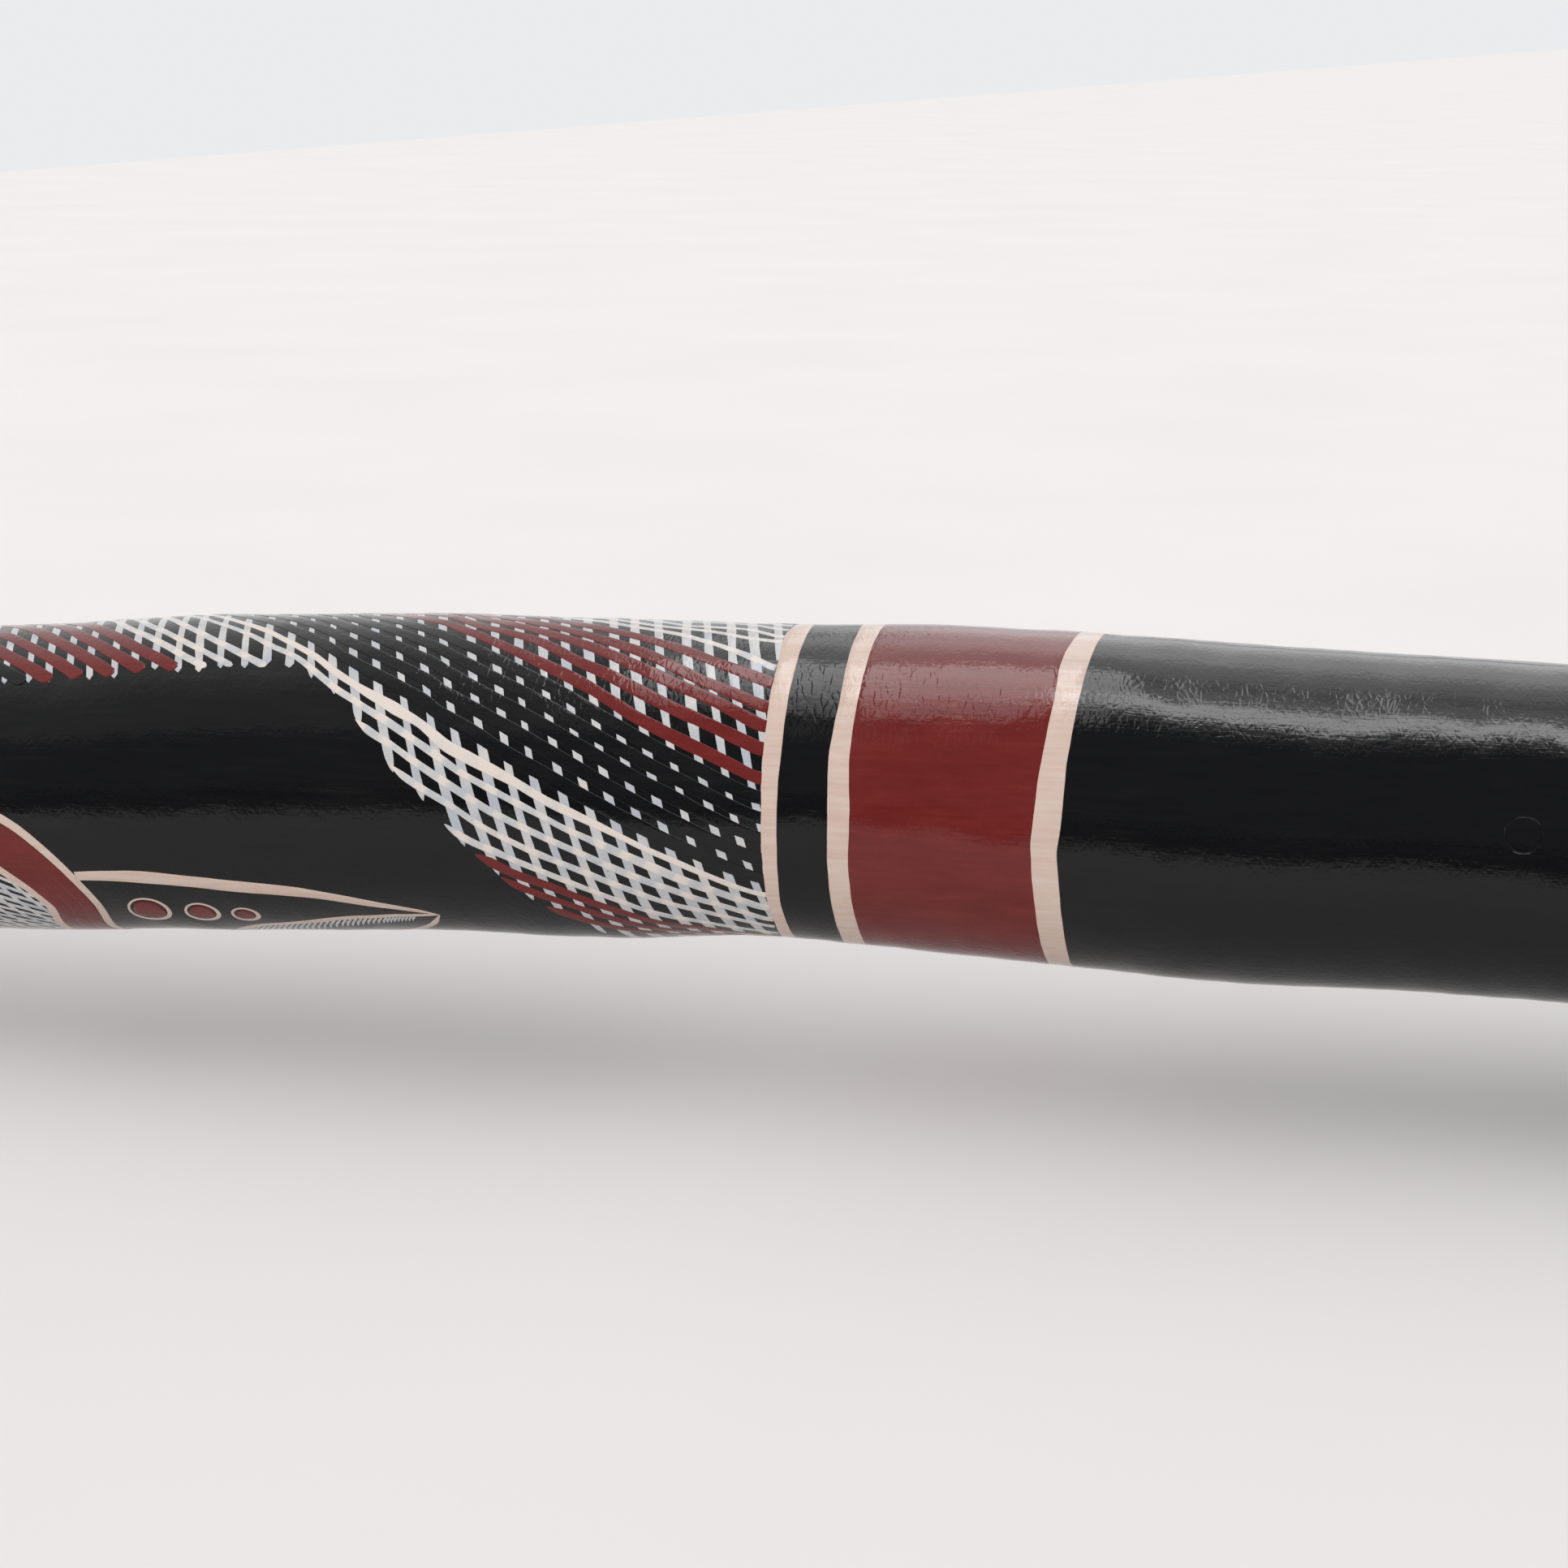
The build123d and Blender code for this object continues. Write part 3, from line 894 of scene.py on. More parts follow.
# ---- lattice of steep and shallow strokes -----------------------------------------------
# outline (X, A) of the black field that the lattice leaves free
FIELD = np.array([
    (-335, 60), (-300, 40), (-200, 31), (-60, 28.8), (30, 29.6), (79.9, 29.7), (115.6, 27.7),
    (132.2, 27.2), (139.6, 27.1), (143.2, 29.5), (148.9, 34.3), (152.4, 37.9), (158.2, 44.8),
    (160.1, 46.8), (163.8, 50.7), (168.8, 56.1), (170.2, 57.4), (175.0, 63.3), (176.5, 64.9),
    (181.0, 70.1), (188.7, 77.8), (195.5, 84.6), (205, 97), (208, 112), (198, 132), (180, 146),
    (140, 152), (40, 153), (-100, 150), (-220, 146), (-300, 134), (-338, 112), (-348, 86)],
    float)
X_LO, X_HI = -415.6, 232.0                # the lattice ends at the cream bands
A_TOP, A_BOT = -40.0, TURN - 40.0         # one turn, from behind the top of the tube
STARTS = 44                               # shallow strokes round the tube
PITCH = TURN / STARTS
# steep strokes of the front: (X at A = STEEP_A, lean in mm along X per mm down)
STEEP = [(148.35, 0.270), (152.55, 0.275), (157.20, 0.285), (161.80, 0.295), (166.30, 0.290),
         (170.90, 0.295), (175.07, 0.283), (179.70, 0.264), (184.19, 0.251), (188.66, 0.244),
         (193.35, 0.239), (197.73, 0.241), (202.05, 0.242), (206.60, 0.235), (210.84, 0.232),
         (215.34, 0.228), (220.30, 0.215), (224.65, 0.228)]
STEEP_A = 48.7
STEEP_DX = 4.45                           # spacing of the steep strokes beyond the table
STEEP_LEAN = 0.27                         # lean of those at smaller X than the table

# the shallow strokes of the front by row, (X, A) in mm; row 0 is the bold one
TRACE = {
    -9: [(77.0, 19.9), (82.9, 24.0), (89.7, 28.8)],
    -8: [(75.9, 13.3), (83.4, 19.2), (90.3, 24.3), (95.8, 28.5)],
    -7: [(78.0, 8.1), (86.0, 15.4), (94.2, 21.9), (102.9, 28.5), (184.9, 75.3), (190.3, 78.8),
         (194.1, 80.7), (196.7, 82.4), (199.7, 84.1), (202.5, 85.6)],
    -6: [(84.3, 7.1), (92.4, 15.3), (100.5, 21.9), (108.7, 27.7), (181.0, 70.1), (184.3, 72.6),
         (190.4, 75.6), (193.2, 76.9), (196.5, 78.5), (200.3, 80.7), (204.1, 82.9),
         (207.2, 84.7), (210.3, 86.3)],
    -5: [(88.6, 6.1), (96.5, 13.5), (104.5, 20.3), (111.6, 24.9), (116.5, 28.0), (176.5, 65.0),
         (179.1, 66.5), (181.4, 67.9), (184.4, 69.5), (191.3, 72.5), (193.9, 73.8),
         (197.4, 75.6), (200.4, 77.1), (203.5, 78.7), (206.5, 80.6), (210.3, 82.7),
         (214.1, 84.6), (217.9, 86.4)],
    -4: [(91.6, 1.3), (100.7, 12.4), (108.5, 18.6), (116.6, 24.4), (122.3, 27.5), (170.2, 57.4),
         (171.7, 59.0), (173.2, 60.3), (175.1, 61.6), (177.2, 62.8), (180.7, 64.3),
         (184.6, 66.2), (188.4, 67.9), (192.2, 69.7), (196.0, 71.4), (199.8, 73.2),
         (203.6, 75.1), (207.4, 77.3), (211.2, 79.2), (214.9, 81.1), (221.0, 84.6),
         (225.5, 86.7)],
    -3: [(96.2, 1.1), (105.1, 12.0), (113.7, 18.7), (121.6, 23.9), (127.2, 27.3), (160.1, 46.9),
         (161.7, 48.2), (163.4, 49.7), (165.5, 51.0), (167.7, 52.4), (170.8, 54.0),
         (174.7, 56.4), (178.5, 59.0), (182.4, 61.1), (186.2, 63.0), (190.0, 64.7),
         (193.9, 66.5), (197.7, 68.2), (201.5, 70.0), (205.2, 71.8), (209.0, 73.7),
         (212.8, 75.6), (216.5, 77.6), (220.3, 79.7), (224.0, 81.6), (228.5, 83.8),
         (230.9, 85.0)],
    -2: [(101.8, 0.9), (112.2, 12.3), (120.6, 18.9), (128.3, 24.0), (133.8, 27.2),
         (152.4, 38.0), (154.0, 39.1), (155.6, 40.5), (157.6, 41.9), (160.4, 43.3),
         (164.4, 46.1), (168.4, 48.7), (172.3, 51.1), (176.2, 53.4), (180.1, 55.9),
         (184.0, 57.8), (187.8, 59.6), (191.6, 61.4), (195.5, 63.2), (199.3, 64.9),
         (203.1, 66.8), (206.8, 68.6), (210.6, 70.5), (214.4, 72.4), (218.1, 74.7),
         (221.9, 76.7), (225.6, 78.7), (231.0, 82.0)],
    -1: [(110.0, 3.9), (118.9, 11.2), (127.0, 16.8), (132.8, 21.2), (138.3, 24.2),
         (140.5, 25.8), (142.4, 27.6), (144.3, 29.2), (146.1, 30.7), (147.9, 32.2),
         (149.6, 33.4), (151.8, 34.6), (153.7, 35.9), (155.7, 37.2), (158.5, 38.7),
         (162.6, 41.2), (166.7, 43.8), (170.7, 46.5), (174.6, 49.0), (178.6, 50.9),
         (182.4, 52.8), (186.3, 54.7), (190.2, 56.6), (194.0, 58.7), (197.8, 60.4),
         (201.6, 62.2), (205.4, 64.1), (209.2, 65.9), (212.9, 67.9), (216.7, 70.2),
         (220.4, 72.3), (224.2, 74.3), (227.9, 76.3), (231.0, 78.1)],
    0: [(113.6, 3.2), (122.0, 9.8), (130.0, 15.3), (135.9, 19.6), (141.5, 23.6), (143.4, 25.1),
        (145.2, 26.7), (147.0, 28.2), (148.8, 29.5), (150.6, 30.6), (152.3, 31.6),
        (154.0, 32.7), (155.7, 33.7), (157.4, 34.7), (159.9, 36.0), (162.4, 37.6),
        (165.6, 39.1), (168.4, 41.2), (171.5, 43.9), (176.1, 46.0), (181.6, 48.6),
        (186.4, 50.9), (191.2, 53.7), (196.4, 56.0), (201.5, 58.6), (206.2, 60.9),
        (211.2, 63.7), (215.9, 66.1), (221.4, 69.2), (226.3, 71.8), (231.1, 73.8)],
    1: [(168.0, 36.7), (176.0, 40.7), (184.0, 45.2), (192.0, 49.1), (200.0, 53.4),
        (208.0, 57.6), (216.0, 62.1), (224.0, 66.5)],
    2: [(168.0, 32.0), (176.0, 36.3), (184.0, 40.5), (192.0, 44.6), (200.0, 48.9),
        (208.0, 53.3), (216.0, 57.7), (224.0, 62.0)],
    3: [(168.0, 27.4), (176.0, 32.1), (184.0, 36.2), (192.0, 40.4), (200.0, 44.7),
        (208.0, 49.0), (216.0, 53.2), (224.0, 57.7)],
    4: [(168.0, 23.0), (176.0, 27.8), (184.0, 32.1), (192.0, 36.4), (200.0, 40.8),
        (208.0, 44.9), (216.0, 49.1), (224.0, 53.5)],
    5: [(168.0, 18.6), (176.0, 23.3), (184.0, 27.8), (192.0, 32.1), (200.0, 36.7),
        (208.0, 41.0), (216.0, 45.1), (224.0, 49.4)],
    6: [(168.7, 14.6), (177.3, 19.9), (189.7, 26.7), (197.8, 31.3), (205.8, 36.4),
        (213.6, 40.5), (221.3, 44.1), (230.8, 48.8)],
    7: [(172.6, 13.2), (185.0, 18.2), (193.4, 24.2), (205.6, 30.8), (213.5, 34.9),
        (221.2, 38.4), (231.1, 43.1)],
    8: [(183.0, 13.8), (194.6, 19.6), (205.3, 25.7), (213.3, 29.8), (221.1, 33.3),
        (231.5, 38.9)],
    9: [(186.0, 11.8), (198.5, 18.1), (208.3, 23.2), (217.9, 28.8), (224.9, 31.8),
        (231.4, 34.8)],
    10: [(196.4, 12.6), (206.3, 17.6), (214.4, 21.2), (222.4, 25.2), (231.4, 29.2)],
    11: [(201.1, 11.2), (210.9, 14.7), (220.6, 19.2), (226.2, 22.2), (231.7, 25.7)],
    12: [(204.3, 9.9), (217.2, 12.8), (224.4, 15.3), (231.1, 16.7)],
    13: [(210.7, 9.6), (224.3, 11.0), (230.7, 14.8)],
}
FIRST_ROW, LAST_ROW = min(TRACE), max(TRACE)
# (X, width) of the bold stroke
BOLD_WIDTH = [
    (100, 1.4), (140, 1.45), (152, 1.5), (158, 2.0), (161, 2.4), (166, 1.75), (171, 2.2),
    (176, 2.45), (181, 2.3), (186, 1.75), (196, 1.8), (201, 1.6), (206, 1.25), (212, 1.25),
    (232, 1.35)]


def inside(outline, points):
    """Which points lie inside a closed outline."""
    x, y = points[:, 0], points[:, 1]
    found = np.zeros(len(points), bool)
    for (x0, y0), (x1, y1) in zip(outline, np.roll(outline, -1, 0)):
        if y0 != y1:
            found ^= ((y0 > y) != (y1 > y)) & (x < (x1 - x0) * (y - y0) / (y1 - y0) + x0)
    return found


def wrap(a):
    return (a - A_TOP) % TURN + A_TOP


def runs(mask):
    """First and last index of each unbroken run of True."""
    edges = np.flatnonzero(np.diff(np.concatenate([[0], mask.astype(int), [0]])))
    return [(int(first), int(end) - 1) for first, end in zip(edges[::2], edges[1::2])]


def steep_x(j, a):
    """X of steep stroke j at depth a."""
    rng = np.random.default_rng(1000 + j)
    off, slow, quick = rng.uniform(-0.3, 0.3), rng.uniform(0, 6.28), rng.uniform(0, 6.28)
    last = len(STEEP) - 1
    if j < 0:
        x, lean = STEEP[0][0] + STEEP_DX * j + off, STEEP_LEAN
    elif j <= last:
        x, lean = STEEP[j]
    else:
        x, lean = STEEP[-1][0] + STEEP_DX * (j - last) + off, 0.225
    return (x + (a - STEEP_A) * lean + 0.16 * np.sin(a / 13.0 + slow)
            + 0.08 * np.sin(a / 5.0 + quick))


def soften(values, count):
    padded = np.pad(values, count // 2, mode="reflect", reflect_type="odd")
    return np.convolve(padded, hann_window(count), mode="valid")


def guide_line():
    """X and A of the line all rows follow: row 0, carried on towards the bell."""
    x, a = TRACE[0][0]
    added = []
    while x > -440:
        x -= 6.0
        a -= 6.0 * (0.74 + 0.07 * math.sin(x / 60.0))
        added.append((x, a))
    points = np.vstack([added[::-1], TRACE[0]])
    xs = np.linspace(-440, 236, 1353)
    return xs, soften(np.interp(xs, points[:, 0], points[:, 1]), 13)


GUIDE_X, GUIDE_A = guide_line()


def row_offset(row):
    """How far a traced row departs from an even spacing, fading out towards the bell."""
    trace = np.array(TRACE[row], float)
    traced_x = trace[:, 0]
    offset = soften(np.interp(GUIDE_X, traced_x, trace[:, 1]), 13) - (GUIDE_A - PITCH * row)
    low = np.searchsorted(GUIDE_X, traced_x[0] + 1)
    high = np.searchsorted(GUIDE_X, min(traced_x[-1], 235) - 1)
    offset[:low] = offset[low]
    offset[high:] = offset[high]
    gaps = np.diff(traced_x)
    if gaps.max() > 40:                   # traced in two stretches: carry over evenly between
        i = int(np.argmax(gaps))
        x0, x1 = traced_x[i], traced_x[i + 1]
        between = (GUIDE_X > x0) & (GUIDE_X < x1)
        before, after = np.interp([x0, x1], GUIDE_X, offset)
        offset[between] = before + (after - before) * smooth(x0, x1, GUIDE_X[between])
    return offset * smooth(-60, 60, GUIDE_X)


ROW_OFFSET = {row: row_offset(row) for row in TRACE}
# the untraced rows blend from the last traced row to the first, round the back
for row in range(LAST_ROW + 1, STARTS + FIRST_ROW):
    share = (row - LAST_ROW) / (STARTS + FIRST_ROW - LAST_ROW)
    ROW_OFFSET[row] = ROW_OFFSET[LAST_ROW] * (1 - share) + ROW_OFFSET[FIRST_ROW] * share

steep_white = Paint("lattice_white_steep", WHITE, 0.011, rounded=False)
shallow_white = Paint("lattice_white_shallow", WHITE, 0.024)
shallow_red = Paint("lattice_red_shallow", RED, 0.024)
shallow_black = Paint("lattice_black_shallow", BLACK_STROKE, 0.024)
STROKE_WIDTH = {shallow_white: 1.45, shallow_red: 2.35, shallow_black: 2.75}
# (last start of the group, paint), counted round the tube from the bold stroke
ROW_PAINTS = [(0, shallow_white), (5, shallow_black), (10, shallow_red), (15, shallow_white),
              (20, shallow_black), (25, shallow_red), (30, shallow_white), (34, shallow_black),
              (39, shallow_red), (43, shallow_white)]
STEEP_ALL = range(
    int((X_LO - STEEP[0][0] - (A_BOT - STEEP_A) * STEEP_LEAN) / STEEP_DX) - 1,
    int((X_HI - STEEP[0][0] - (A_TOP - STEEP_A) * STEEP_LEAN) / STEEP_DX) + 3)


def steep_stroke(j):
    rng = np.random.default_rng(5000 + j)
    step = 0.9
    a = np.arange(A_TOP, A_BOT, step)
    n = len(a)
    x = steep_x(j, a)
    points = np.stack([x, a], 1)
    keep = (x > X_LO) & (x < X_HI) & ~inside(FIELD, points)
    width = rng.uniform(1.65, 2.05) + wobble(rng, n, 0.26, n / 9) + wobble(rng, n, 0.12, n / 2.5)
    # narrower or wider with the shallow row the point lies in
    row = (np.interp(x, GUIDE_X, GUIDE_A) - a) / PITCH
    width = width * np.interp(row, [-6, -1, 0.3, 1, 5.5, 6.5, 10, 12],
                              [0.95, 0.93, 0.90, 0.80, 0.80, 0.97, 0.97, 0.90])
    width = width * (0.82 + 0.18 * smooth(136, 150, x))
    for first, last in runs(keep):
        last = min(n - 1, last + int(rng.integers(0, 2)))     # some run on one step further
        if last - first < 4:
            continue
        run = slice(first, last + 1)
        run_width = width[run].copy()
        place = np.arange(first, last + 1)
        if last < n - 3 and x[last] < X_HI - 1:
            length = 0.5 if x[last] < 141 else 2.4
            run_width *= taper((last - place) * step, length, least=0.12, power=0.7)
        if first > 2:
            run_width *= taper((place - first) * step, 1.6, least=0.12, power=0.7)
        coat = 0.22 + wobble(rng, last - first + 1, 0.22, (last - first) / 8)
        steep_white.strip(points[run], run_width, coat)


def shallow_stroke(start):
    row = start if start < STARTS + FIRST_ROW else start - STARTS
    paint = next(paint for last, paint in ROW_PAINTS if start <= last)
    rng = np.random.default_rng(9000 + row)
    spread = rng.uniform(-0.5, 0.5)
    x = np.arange(X_LO, X_HI, 0.75)
    n = len(x)
    a = (np.interp(x, GUIDE_X, GUIDE_A - PITCH * row + ROW_OFFSET[row])
         + spread * (1 - smooth(-60, 60, x)))
    a = a + wobble(rng, n, 0.16, n / 30) + wobble(rng, n, 0.07, n / 8)
    points = np.stack([x, a], 1)
    keep = ~inside(FIELD, np.stack([x, wrap(a)], 1))
    width = STROKE_WIDTH[paint] + wobble(rng, n, 0.22, n / 18) + wobble(rng, n, 0.12, n / 4)
    if row == 0:
        width = np.interp(x, *np.array(BOLD_WIDTH).T) + wobble(rng, n, 0.1, n / 5)
    elif row == -1:
        width = width + 0.45 * smooth(196, 206, x)
    elif 6 <= row <= 10:
        width = width + 0.28
    elif paint is shallow_red and row < 0:
        width = width + 0.48 * (1 - smooth(125, 150, x)) - 0.30 * smooth(160, 180, x)
    for first, last in runs(keep):
        if last - first < 5:
            continue
        run = slice(first, last + 1)
        path = points[run]
        lengths = lengths_along(path)
        run_width = width[run].copy()
        if first > 2:
            run_width *= taper(lengths, 3.2, least=0.10, power=0.75)
        if last < n - 3:
            run_width *= taper(lengths[-1] - lengths, 0.5, least=0.4, power=0.7)
        # the coat is thicker where the stroke passes over a steep one
        depth = wrap(path[:, 1])
        to_steep = np.min([np.abs(path[:, 0] - steep_x(j, depth)) for j in STEEP_ALL], axis=0)
        coat = (0.30 + 0.62 * (1 - smooth(0.55, 1.15, to_steep))
                + wobble(rng, len(lengths), 0.15, len(lengths) / 12))
        if row == 0:
            coat = coat + 0.5 * smooth(110, 130, path[:, 0])
        paint.strip(path, run_width, coat)


for j in STEEP_ALL:
    steep_stroke(j)
for start in range(STARTS):
    shallow_stroke(start)
for paint in (steep_white, shallow_white, shallow_red, shallow_black):
    paint.build()

# ---- leaf-shaped motif in the black field -----------------------------------------------
motif_rng = np.random.default_rng(77)
cream_lines = Paint("motif_cream_lines", CREAM, 0.05)
red_border = Paint("motif_red_border", RED, 0.03)
red_dots = Paint("motif_red_dots", RED, 0.05)
fine_lines = Paint("motif_fine_lines", WHITE, 0.025)

# (X, A) of the loop's upper half; the lower half mirrors it at 0.85 of its depth
LOOP_A = 98.7
LOOP_UPPER = [
    (98.3, LOOP_A), (98.1, 89.5), (98.9, 78.7), (95.4, 69.5), (89.4, 61.8), (82.7, 56.7),
    (72.2, 52.1), (59.5, 48.0), (40.6, 45.3), (15.3, 44.2), (-19.5, 44.8), (-55.8, 47.5),
    (-85.8, 53.4), (-104.8, 63.0), (-114.0, 75.8), (-117.4, 88.0), (-118.0, LOOP_A)]
LOOP_LOWER = [(x, LOOP_A + (LOOP_A - a) * 0.85) for x, a in LOOP_UPPER[-2:0:-1]]
LOOP = np.array(LOOP_UPPER + LOOP_LOWER + LOOP_UPPER[:1])
BORDER_INSET, INNER_INSET = 5.2, 10.3     # middle of the red border, inner cream line
# pointed end towards the +X bands, (X, A)
TIP = (167.0, 83.0)
EDGE_UPPER = [(96.6, 70.1), (103.3, 70.1), (111.2, 70.7), (126.9, 72.8), (142.7, 75.3),
              (155.2, 78.8), (161.4, 80.8), TIP]
EDGE_LOWER = [TIP, (163.8, 88.6), (157.2, 95.0), (145.8, 102.6), (129.4, 109.8),
              (111.4, 116.5), (93.4, 121.2)]
MIDRIB = [TIP, (161.9, 83.3), (156.3, 83.5), (148.0, 84.5), (137.9, 86.7), (127.8, 89.5),
          (122.1, 94.6), (118.3, 101.2)]
EDGE_LOWER_WIDTHS = [1.0, 1.6, 2.2, 2.8, 3.0, 2.9, 2.4]
# dots: (X, A, half size along X, half size along A)
DOTS = [(108.9, 80.8, 3.3, 3.4), (119.5, 81.8, 2.5, 2.6), (128.1, 82.6, 1.8, 1.9)]


def line(paint, points, widths, tapers, step=0.9, waver=0.08, coat=0.95):
    """A stroke with widths spread evenly along it; tapers are the lengths at both ends."""
    path = resample(points, step)
    n = len(path)
    share = np.linspace(0, 1, n)
    width = np.interp(share, np.linspace(0, 1, len(widths)), widths)
    width = width * (1 + wobble(motif_rng, n, waver, n / 7))
    length = np.hypot(*np.diff(path, axis=0).T).sum()
    for distance, end in zip((share * length, (1 - share) * length), tapers):
        if end:
            width *= taper(distance, end, least=0.1, power=0.8)
    paint.strip(path, width, np.full(n, coat))


def inset_loop(inset):
    path = resample(LOOP, 1.2)[:-1]
    tangents = np.roll(path, -1, 0) - np.roll(path, 1, 0)
    tangents /= np.hypot(tangents[:, 0], tangents[:, 1])[:, None]
    across = normals(tangents)
    inward = np.sign(((path.mean(0) - path) * across).sum(1).mean())
    return path + across * inset * inward


def cream_loop(path):
    waver = wobble(motif_rng, len(path), 0.12, 60)
    waver[-1] = waver[0]
    cream_lines.strip(path, 1.75 + waver, np.full(len(path), 0.95), closed=True)


def loop_lattice(outline):
    """Two crossing families of fine strokes, cut off at the outline."""
    a = np.arange(40, 156, 0.9)
    x = np.arange(-200, 110, 0.9)
    strokes = [np.stack([c + (a - 97) * 0.45, a], 1) for c in np.arange(-420, 360, 3.1)]
    strokes += [np.stack([x, 97 + (x - c) * 0.62], 1) for c in np.arange(-420, 360, 3.4)]
    for points in strokes:
        for first, last in runs(inside(outline, points)):
            if last - first < 4:
                continue
            n = last - first + 1
            width = 0.95 + wobble(motif_rng, n, 0.16, n / 6)
            coat = 0.35 + wobble(motif_rng, n, 0.3, n / 5)
            fine_lines.strip(points[first:last + 1], width, coat)


def midrib_hairs():
    """Short fine strokes hanging from the midrib, longer away from the tip."""
    rib = np.array(MIDRIB)[1:]
    index = np.arange(len(rib))
    for t in np.arange(0.0, 0.97, 0.021):
        place = t * (len(rib) - 1)
        x = np.interp(place, index, rib[:, 0])
        a = np.interp(place, index, rib[:, 1]) + 0.5
        size = 22 + 75 * t
        hair = [(x, a), (x - 0.032 * size, a + 0.054 * size), (x - 0.047 * size, a + 0.108 * size)]
        line(fine_lines, hair, [0.62, 0.62], (0.6, 2.0), step=0.8, waver=0.15, coat=0.2)


def dot(x, a, half_x, half_a):
    """A red dot with a cream rim of uneven width."""
    red_dots.patch(lambda angle, share: (
        x + half_x * share * math.cos(angle) * (1 + 0.05 * math.sin(3 * angle)),
        a + half_a * share * math.sin(angle)))
    angles = np.linspace(0, 2 * math.pi, 60, endpoint=False)
    rim = np.stack([x + (half_x + 0.75) * np.cos(angles), a + (half_a + 0.75) * np.sin(angles)], 1)
    cream_lines.strip(rim, 0.75 + 0.22 * np.sin(angles + 0.6), np.full(60, 0.95), closed=True)


cream_loop(inset_loop(0.0))
for shift in (-2.75, 0.0, 2.75):
    border = inset_loop(BORDER_INSET + shift)
    red_border.strip(border, np.full(len(border), 3.1), np.full(len(border), 0.9), closed=True)
inner_loop = inset_loop(INNER_INSET)
cream_loop(inner_loop)
loop_lattice(inner_loop)
line(cream_lines, EDGE_UPPER, [2.3, 2.9, 3.0, 3.0, 2.9, 2.5, 1.8, 1.0], (0, 4))
line(cream_lines, MIDRIB, [0.9, 1.3, 1.6, 1.7, 1.7, 1.6, 1.5, 1.2], (2, 6))
line(cream_lines, EDGE_LOWER, EDGE_LOWER_WIDTHS, (3, 0))
midrib_hairs()
# the mirrored pointed end on the bell side
mirror_x = float(LOOP[:, 0].mean())
line(cream_lines, [(2 * mirror_x - x, a) for x, a in EDGE_UPPER],
     [2.3, 3.0, 3.0, 2.9, 2.5, 1.0], (0, 4))
line(cream_lines, [(2 * mirror_x - x, a) for x, a in EDGE_LOWER], EDGE_LOWER_WIDTHS, (3, 0))
for entry in DOTS:
    dot(*entry)
for paint in (red_border, cream_lines, red_dots, fine_lines):
    paint.build()

# ---- camera, metres ---------------------------------------------------------------------
AZIMUTH, ELEVATION, DISTANCE = math.radians(11.0), math.radians(13.0), 0.620
SENSOR_MM, LENS_MM = 36.0, 74.534161490683
AIM_X, AIM_Z = 230.0, 0.0574              # AIM_X in the tube's mm, AIM_Z in metres
to_camera = Vector((math.sin(AZIMUTH) * math.cos(ELEVATION),
                    -math.cos(AZIMUTH) * math.cos(ELEVATION), math.sin(ELEVATION)))
aim = Vector(((AIM_X + SHIFT[0]) * MM, (float(curve(AXIS_Y, AIM_X)) + SHIFT[1]) * MM, AIM_Z))
camera_data = bpy.data.cameras.new("camera")
camera = link_object("camera", camera_data)
camera_data.sensor_width = SENSOR_MM
camera_data.lens = LENS_MM
camera_data.clip_start, camera_data.clip_end = 0.01, 200.0
camera.location = aim + to_camera * DISTANCE
camera.rotation_mode = "QUATERNION"
camera.rotation_quaternion = (-to_camera).to_track_quat("-Z", "Y")
scene.camera = camera


# ---- floor ------------------------------------------------------------------------------
# where the floor's far edge crosses the left and right sides of the view: height above the
# middle of the view, as a share of its width
EDGE_LEFT, EDGE_RIGHT = 0.390269151138716, 0.468944099378882


def floor_point(across, above):
    """Where a line of sight meets z = 0; the offsets are shares of the view's width."""
    forward = -to_camera
    right = forward.cross(Vector((0, 0, 1))).normalized()
    up = right.cross(forward)
    sight = forward * (LENS_MM / SENSOR_MM) + right * across + up * above
    return camera.location + sight * (-camera.location.z / sight.z)


def floor_white():
    material, nodes, shader = new_material("floor_white")
    patches = nodes.noise((6, 6, 6), detail=3.0, rough=0.5)
    colour = nodes.ramp(patches, [(0.3, (0.795, 0.775, 0.765)), (0.7, (0.815, 0.795, 0.785))])
    # painted reflection: for glossy rays only, the floor's colour is painted near-black a little
    # way in front of the tube, standing in for the dark beyond the table's near edge seen in the
    # gloss
    position = nodes.add("TexCoord")
    axes = nodes.add("SeparateXYZ")
    nodes.plug(position.outputs["Object"], axes.inputs[0])
    ray = nodes.add("LightPath")
    painted_reflection_mask = nodes.map_range(axes.outputs[1], source=(-0.26, -0.19), target=(1.0, 0.0))
    share = nodes.math("MULTIPLY", painted_reflection_mask, ray.outputs["Is Glossy Ray"])
    colour = nodes.mix(share, colour, (0.06, 0.06, 0.062, 1.0))
    # painted shade: the floor's colour is slightly darker towards the camera
    painted_shade_ramp = nodes.map_range(axes.outputs[1], source=(-0.50, 0.30), target=(0.94, 1.0))
    colour = nodes.mix(1.0, colour, painted_shade_ramp, mode="MULTIPLY")
    nodes.plug(colour, shader.inputs["Base Color"])
    shader.inputs["Roughness"].default_value = 0.7
    shader.inputs["Specular IOR Level"].default_value = 0.0
    return material


def build_floor():
    mesh = bpy.data.meshes.new("floor")
    left, right = floor_point(-0.5, EDGE_LEFT), floor_point(0.5, EDGE_RIGHT)
    along = (right - left).normalized()
    left, right = left - along * 40.0, right + along * 20.0
    near_x = 60
    mesh.from_pydata([(left.x, left.y, 0), (near_x, left.y, 0), (near_x, right.y, 0),
                      (right.x, right.y, 0)], [], [(0, 1, 2, 3)])
    mesh.materials.append(floor_white())
    link_object("floor", mesh)


build_floor()

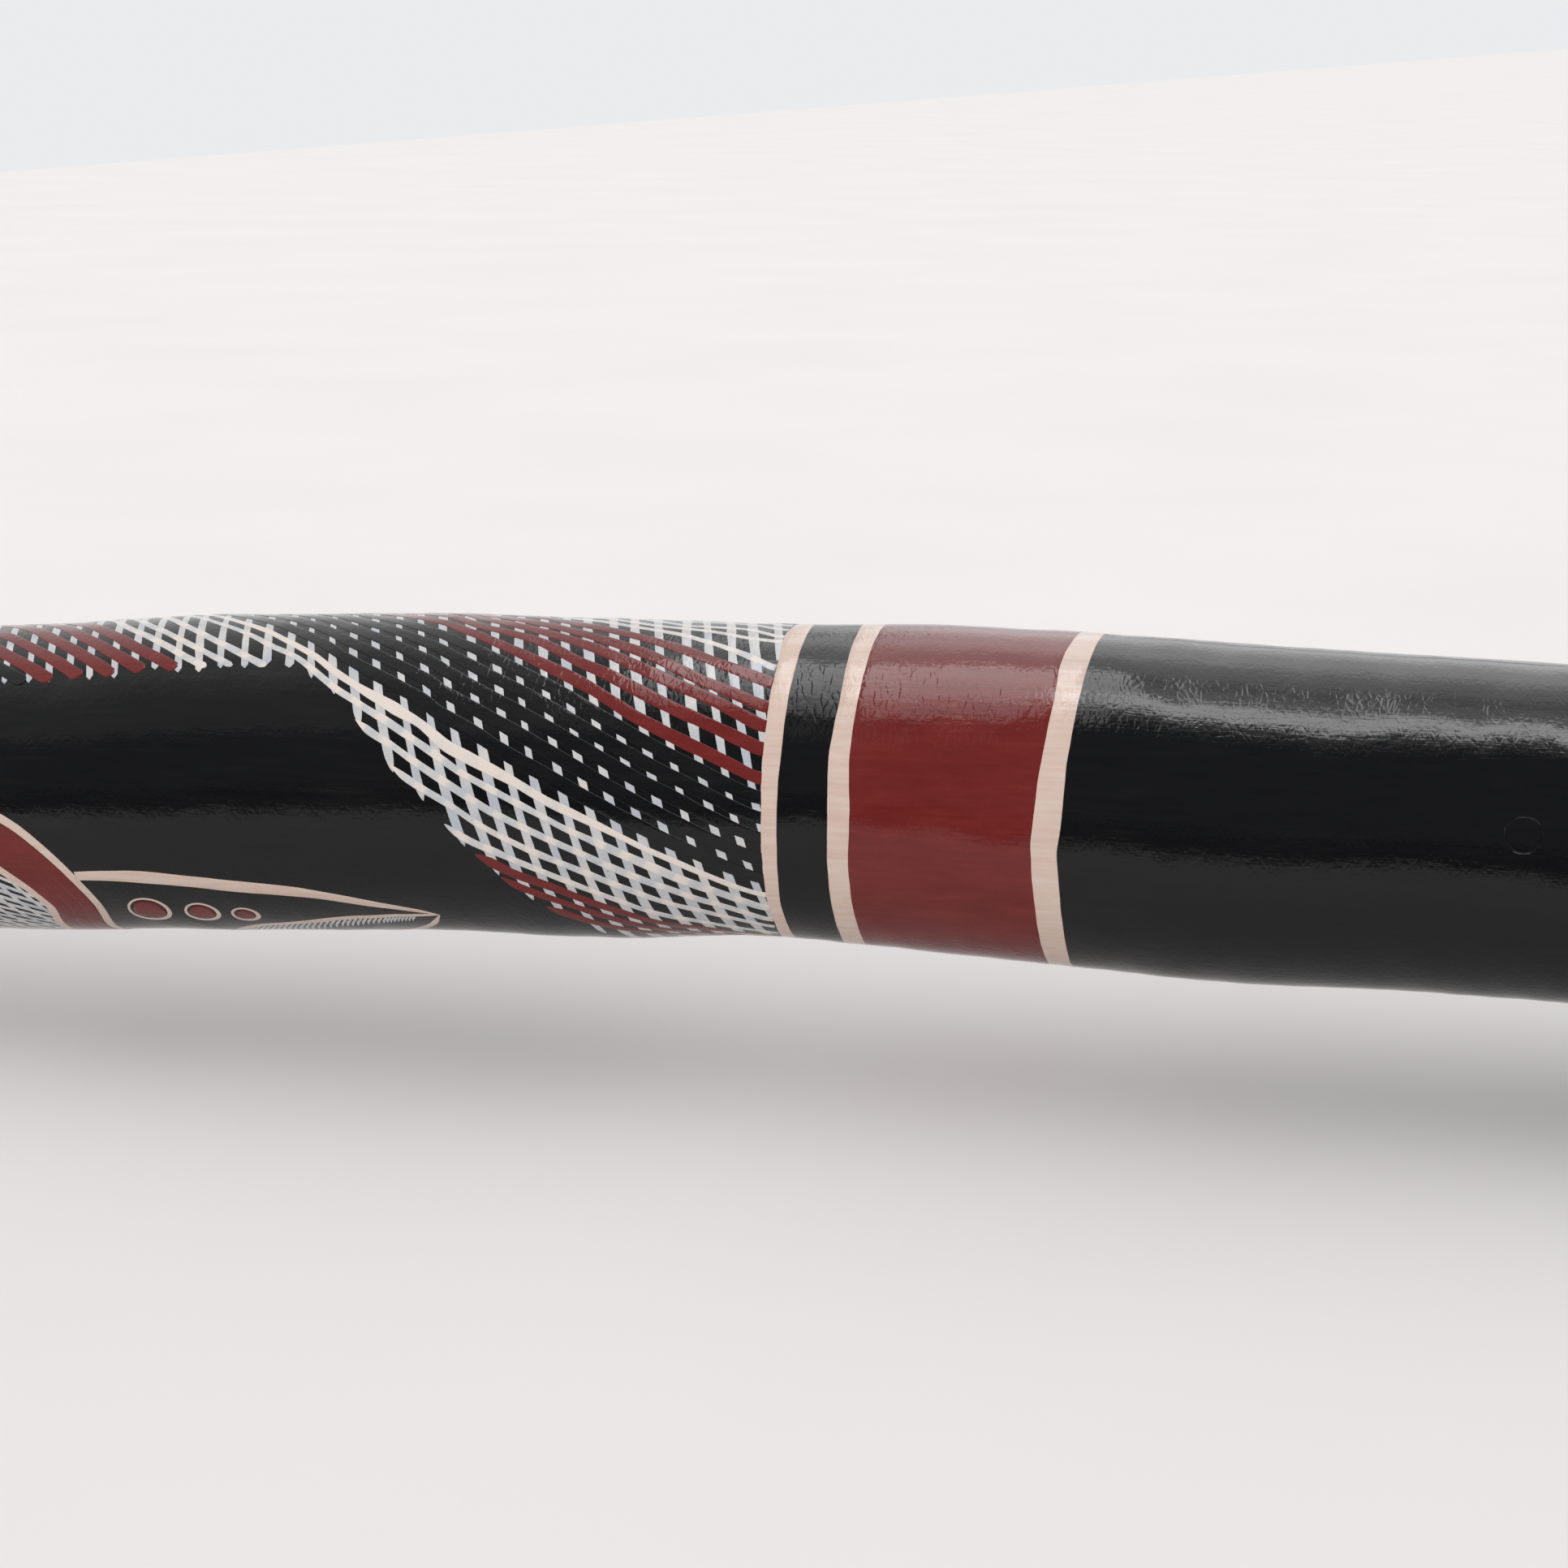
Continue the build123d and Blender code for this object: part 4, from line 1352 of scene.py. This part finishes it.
# ---- lights -----------------------------------------------------------------------------
# overhead panels side by side at one height, seen only as highlights, metres:
# (x0, x1, y0, y1, radiance)
PANEL_Z = 1.1
PANELS = [
    (0.22, 1.30, -0.325, -0.090, 9.0), (-0.02, 0.22, -0.305, -0.090, 5.0),
    (-0.02, 0.30, -0.090, 0.280, 5.6), (0.30, 1.30, -0.090, 0.120, 1.9),
    (0.30, 1.30, 0.120, 0.280, 0.75), (-0.10, 1.50, 0.280, 0.700, 1.1),
    (-0.10, 1.50, 0.700, 1.150, 1.5), (-0.10, 1.50, 1.150, 1.900, 0.9),
    (-0.30, 1.80, 1.900, 4.000, 0.7), (-0.02, 0.22, -0.600, -0.305, 2.6),
    (0.22, 1.30, -0.500, -0.325, 0.75), (-1.30, -0.02, -0.300, 0.100, 0.45),
    (-1.30, -0.02, -1.200, -0.300, 0.28)]


def panel(name, x0, x1, y0, y1, radiance):
    light = bpy.data.lights.new(name, "AREA")
    light.shape = "RECTANGLE"
    light.size, light.size_y = x1 - x0, y1 - y0
    light.energy = radiance * math.pi * (x1 - x0) * (y1 - y0)
    obj = link_object(name, light)
    obj.location = ((x0 + x1) / 2, (y0 + y1) / 2, PANEL_Z)
    obj.rotation_mode = "QUATERNION"
    obj.rotation_quaternion = Vector((0, 0, -PANEL_Z)).to_track_quat("-Z", "Y")
    obj.visible_diffuse = False
    obj.visible_camera = False


def soft_sun(name, energy, spread, tilt):
    """A wide sun without highlights; spread and tilt about X in degrees."""
    light = bpy.data.lights.new(name, "SUN")
    light.energy, light.angle = energy, math.radians(spread)
    obj = link_object(name, light)
    obj.rotation_euler = (math.radians(tilt), 0, 0)
    obj.visible_glossy = False


for number, entry in enumerate(PANELS, 1):
    panel("panel_%d" % number, *entry)
soft_sun("wide_overhead", energy=0.38, spread=100, tilt=-3)
soft_sun("front_fill", energy=0.14, spread=60, tilt=40)


# ---- world ------------------------------------------------------------------------------
def build_world():
    world = bpy.data.worlds.new("studio")
    scene.world = world
    nodes = Nodes(world)
    output = nodes.add("OutputWorld")
    position = nodes.add("TexCoord")
    axes = nodes.add("SeparateXYZ")
    nodes.plug(position.outputs["Generated"], axes.inputs[0])
    # reflections: bright behind the object (+Y), dim towards the camera
    wall = nodes.ramp(nodes.map_range(axes.outputs[1], source=(-1, 1), target=(0, 1)), [
        (0.0, (0.16, 0.16, 0.165)), (0.46, (0.18, 0.18, 0.185)), (0.56, (0.60, 0.60, 0.61)),
        (0.70, (1.0, 1.0, 1.0)), (1.0, (1.0, 1.0, 1.02))])
    ray = nodes.add("LightPath")
    # diffuse light: brighter low down than overhead, so it reaches in under the tube
    even = nodes.ramp(nodes.map_range(axes.outputs[1], source=(-1, 1), target=(0, 1)),
                      [(0.0, (1.05, 1.05, 1.05)), (1.0, (0.78, 0.78, 0.78))])
    product = nodes.add("VectorMath", operation="MULTIPLY")
    nodes.plug(even, product.inputs[0])
    low_light = nodes.map_range(axes.outputs[2], source=(0, 1), target=(1.68, 0.72))
    nodes.plug(low_light, product.inputs[1])
    colour = nodes.mix(ray.outputs["Is Diffuse Ray"], wall, product.outputs[0])
    colour = nodes.mix(ray.outputs["Is Camera Ray"], colour, (0.83, 0.835, 0.85, 1.0))
    background = nodes.add("Background")
    nodes.plug(colour, background.inputs[0])
    background.inputs[1].default_value = 1.0
    nodes.plug(background.outputs[0], output.inputs[0])


build_world()
scene.view_settings.view_transform = "Standard"
scene.view_settings.look = "None"
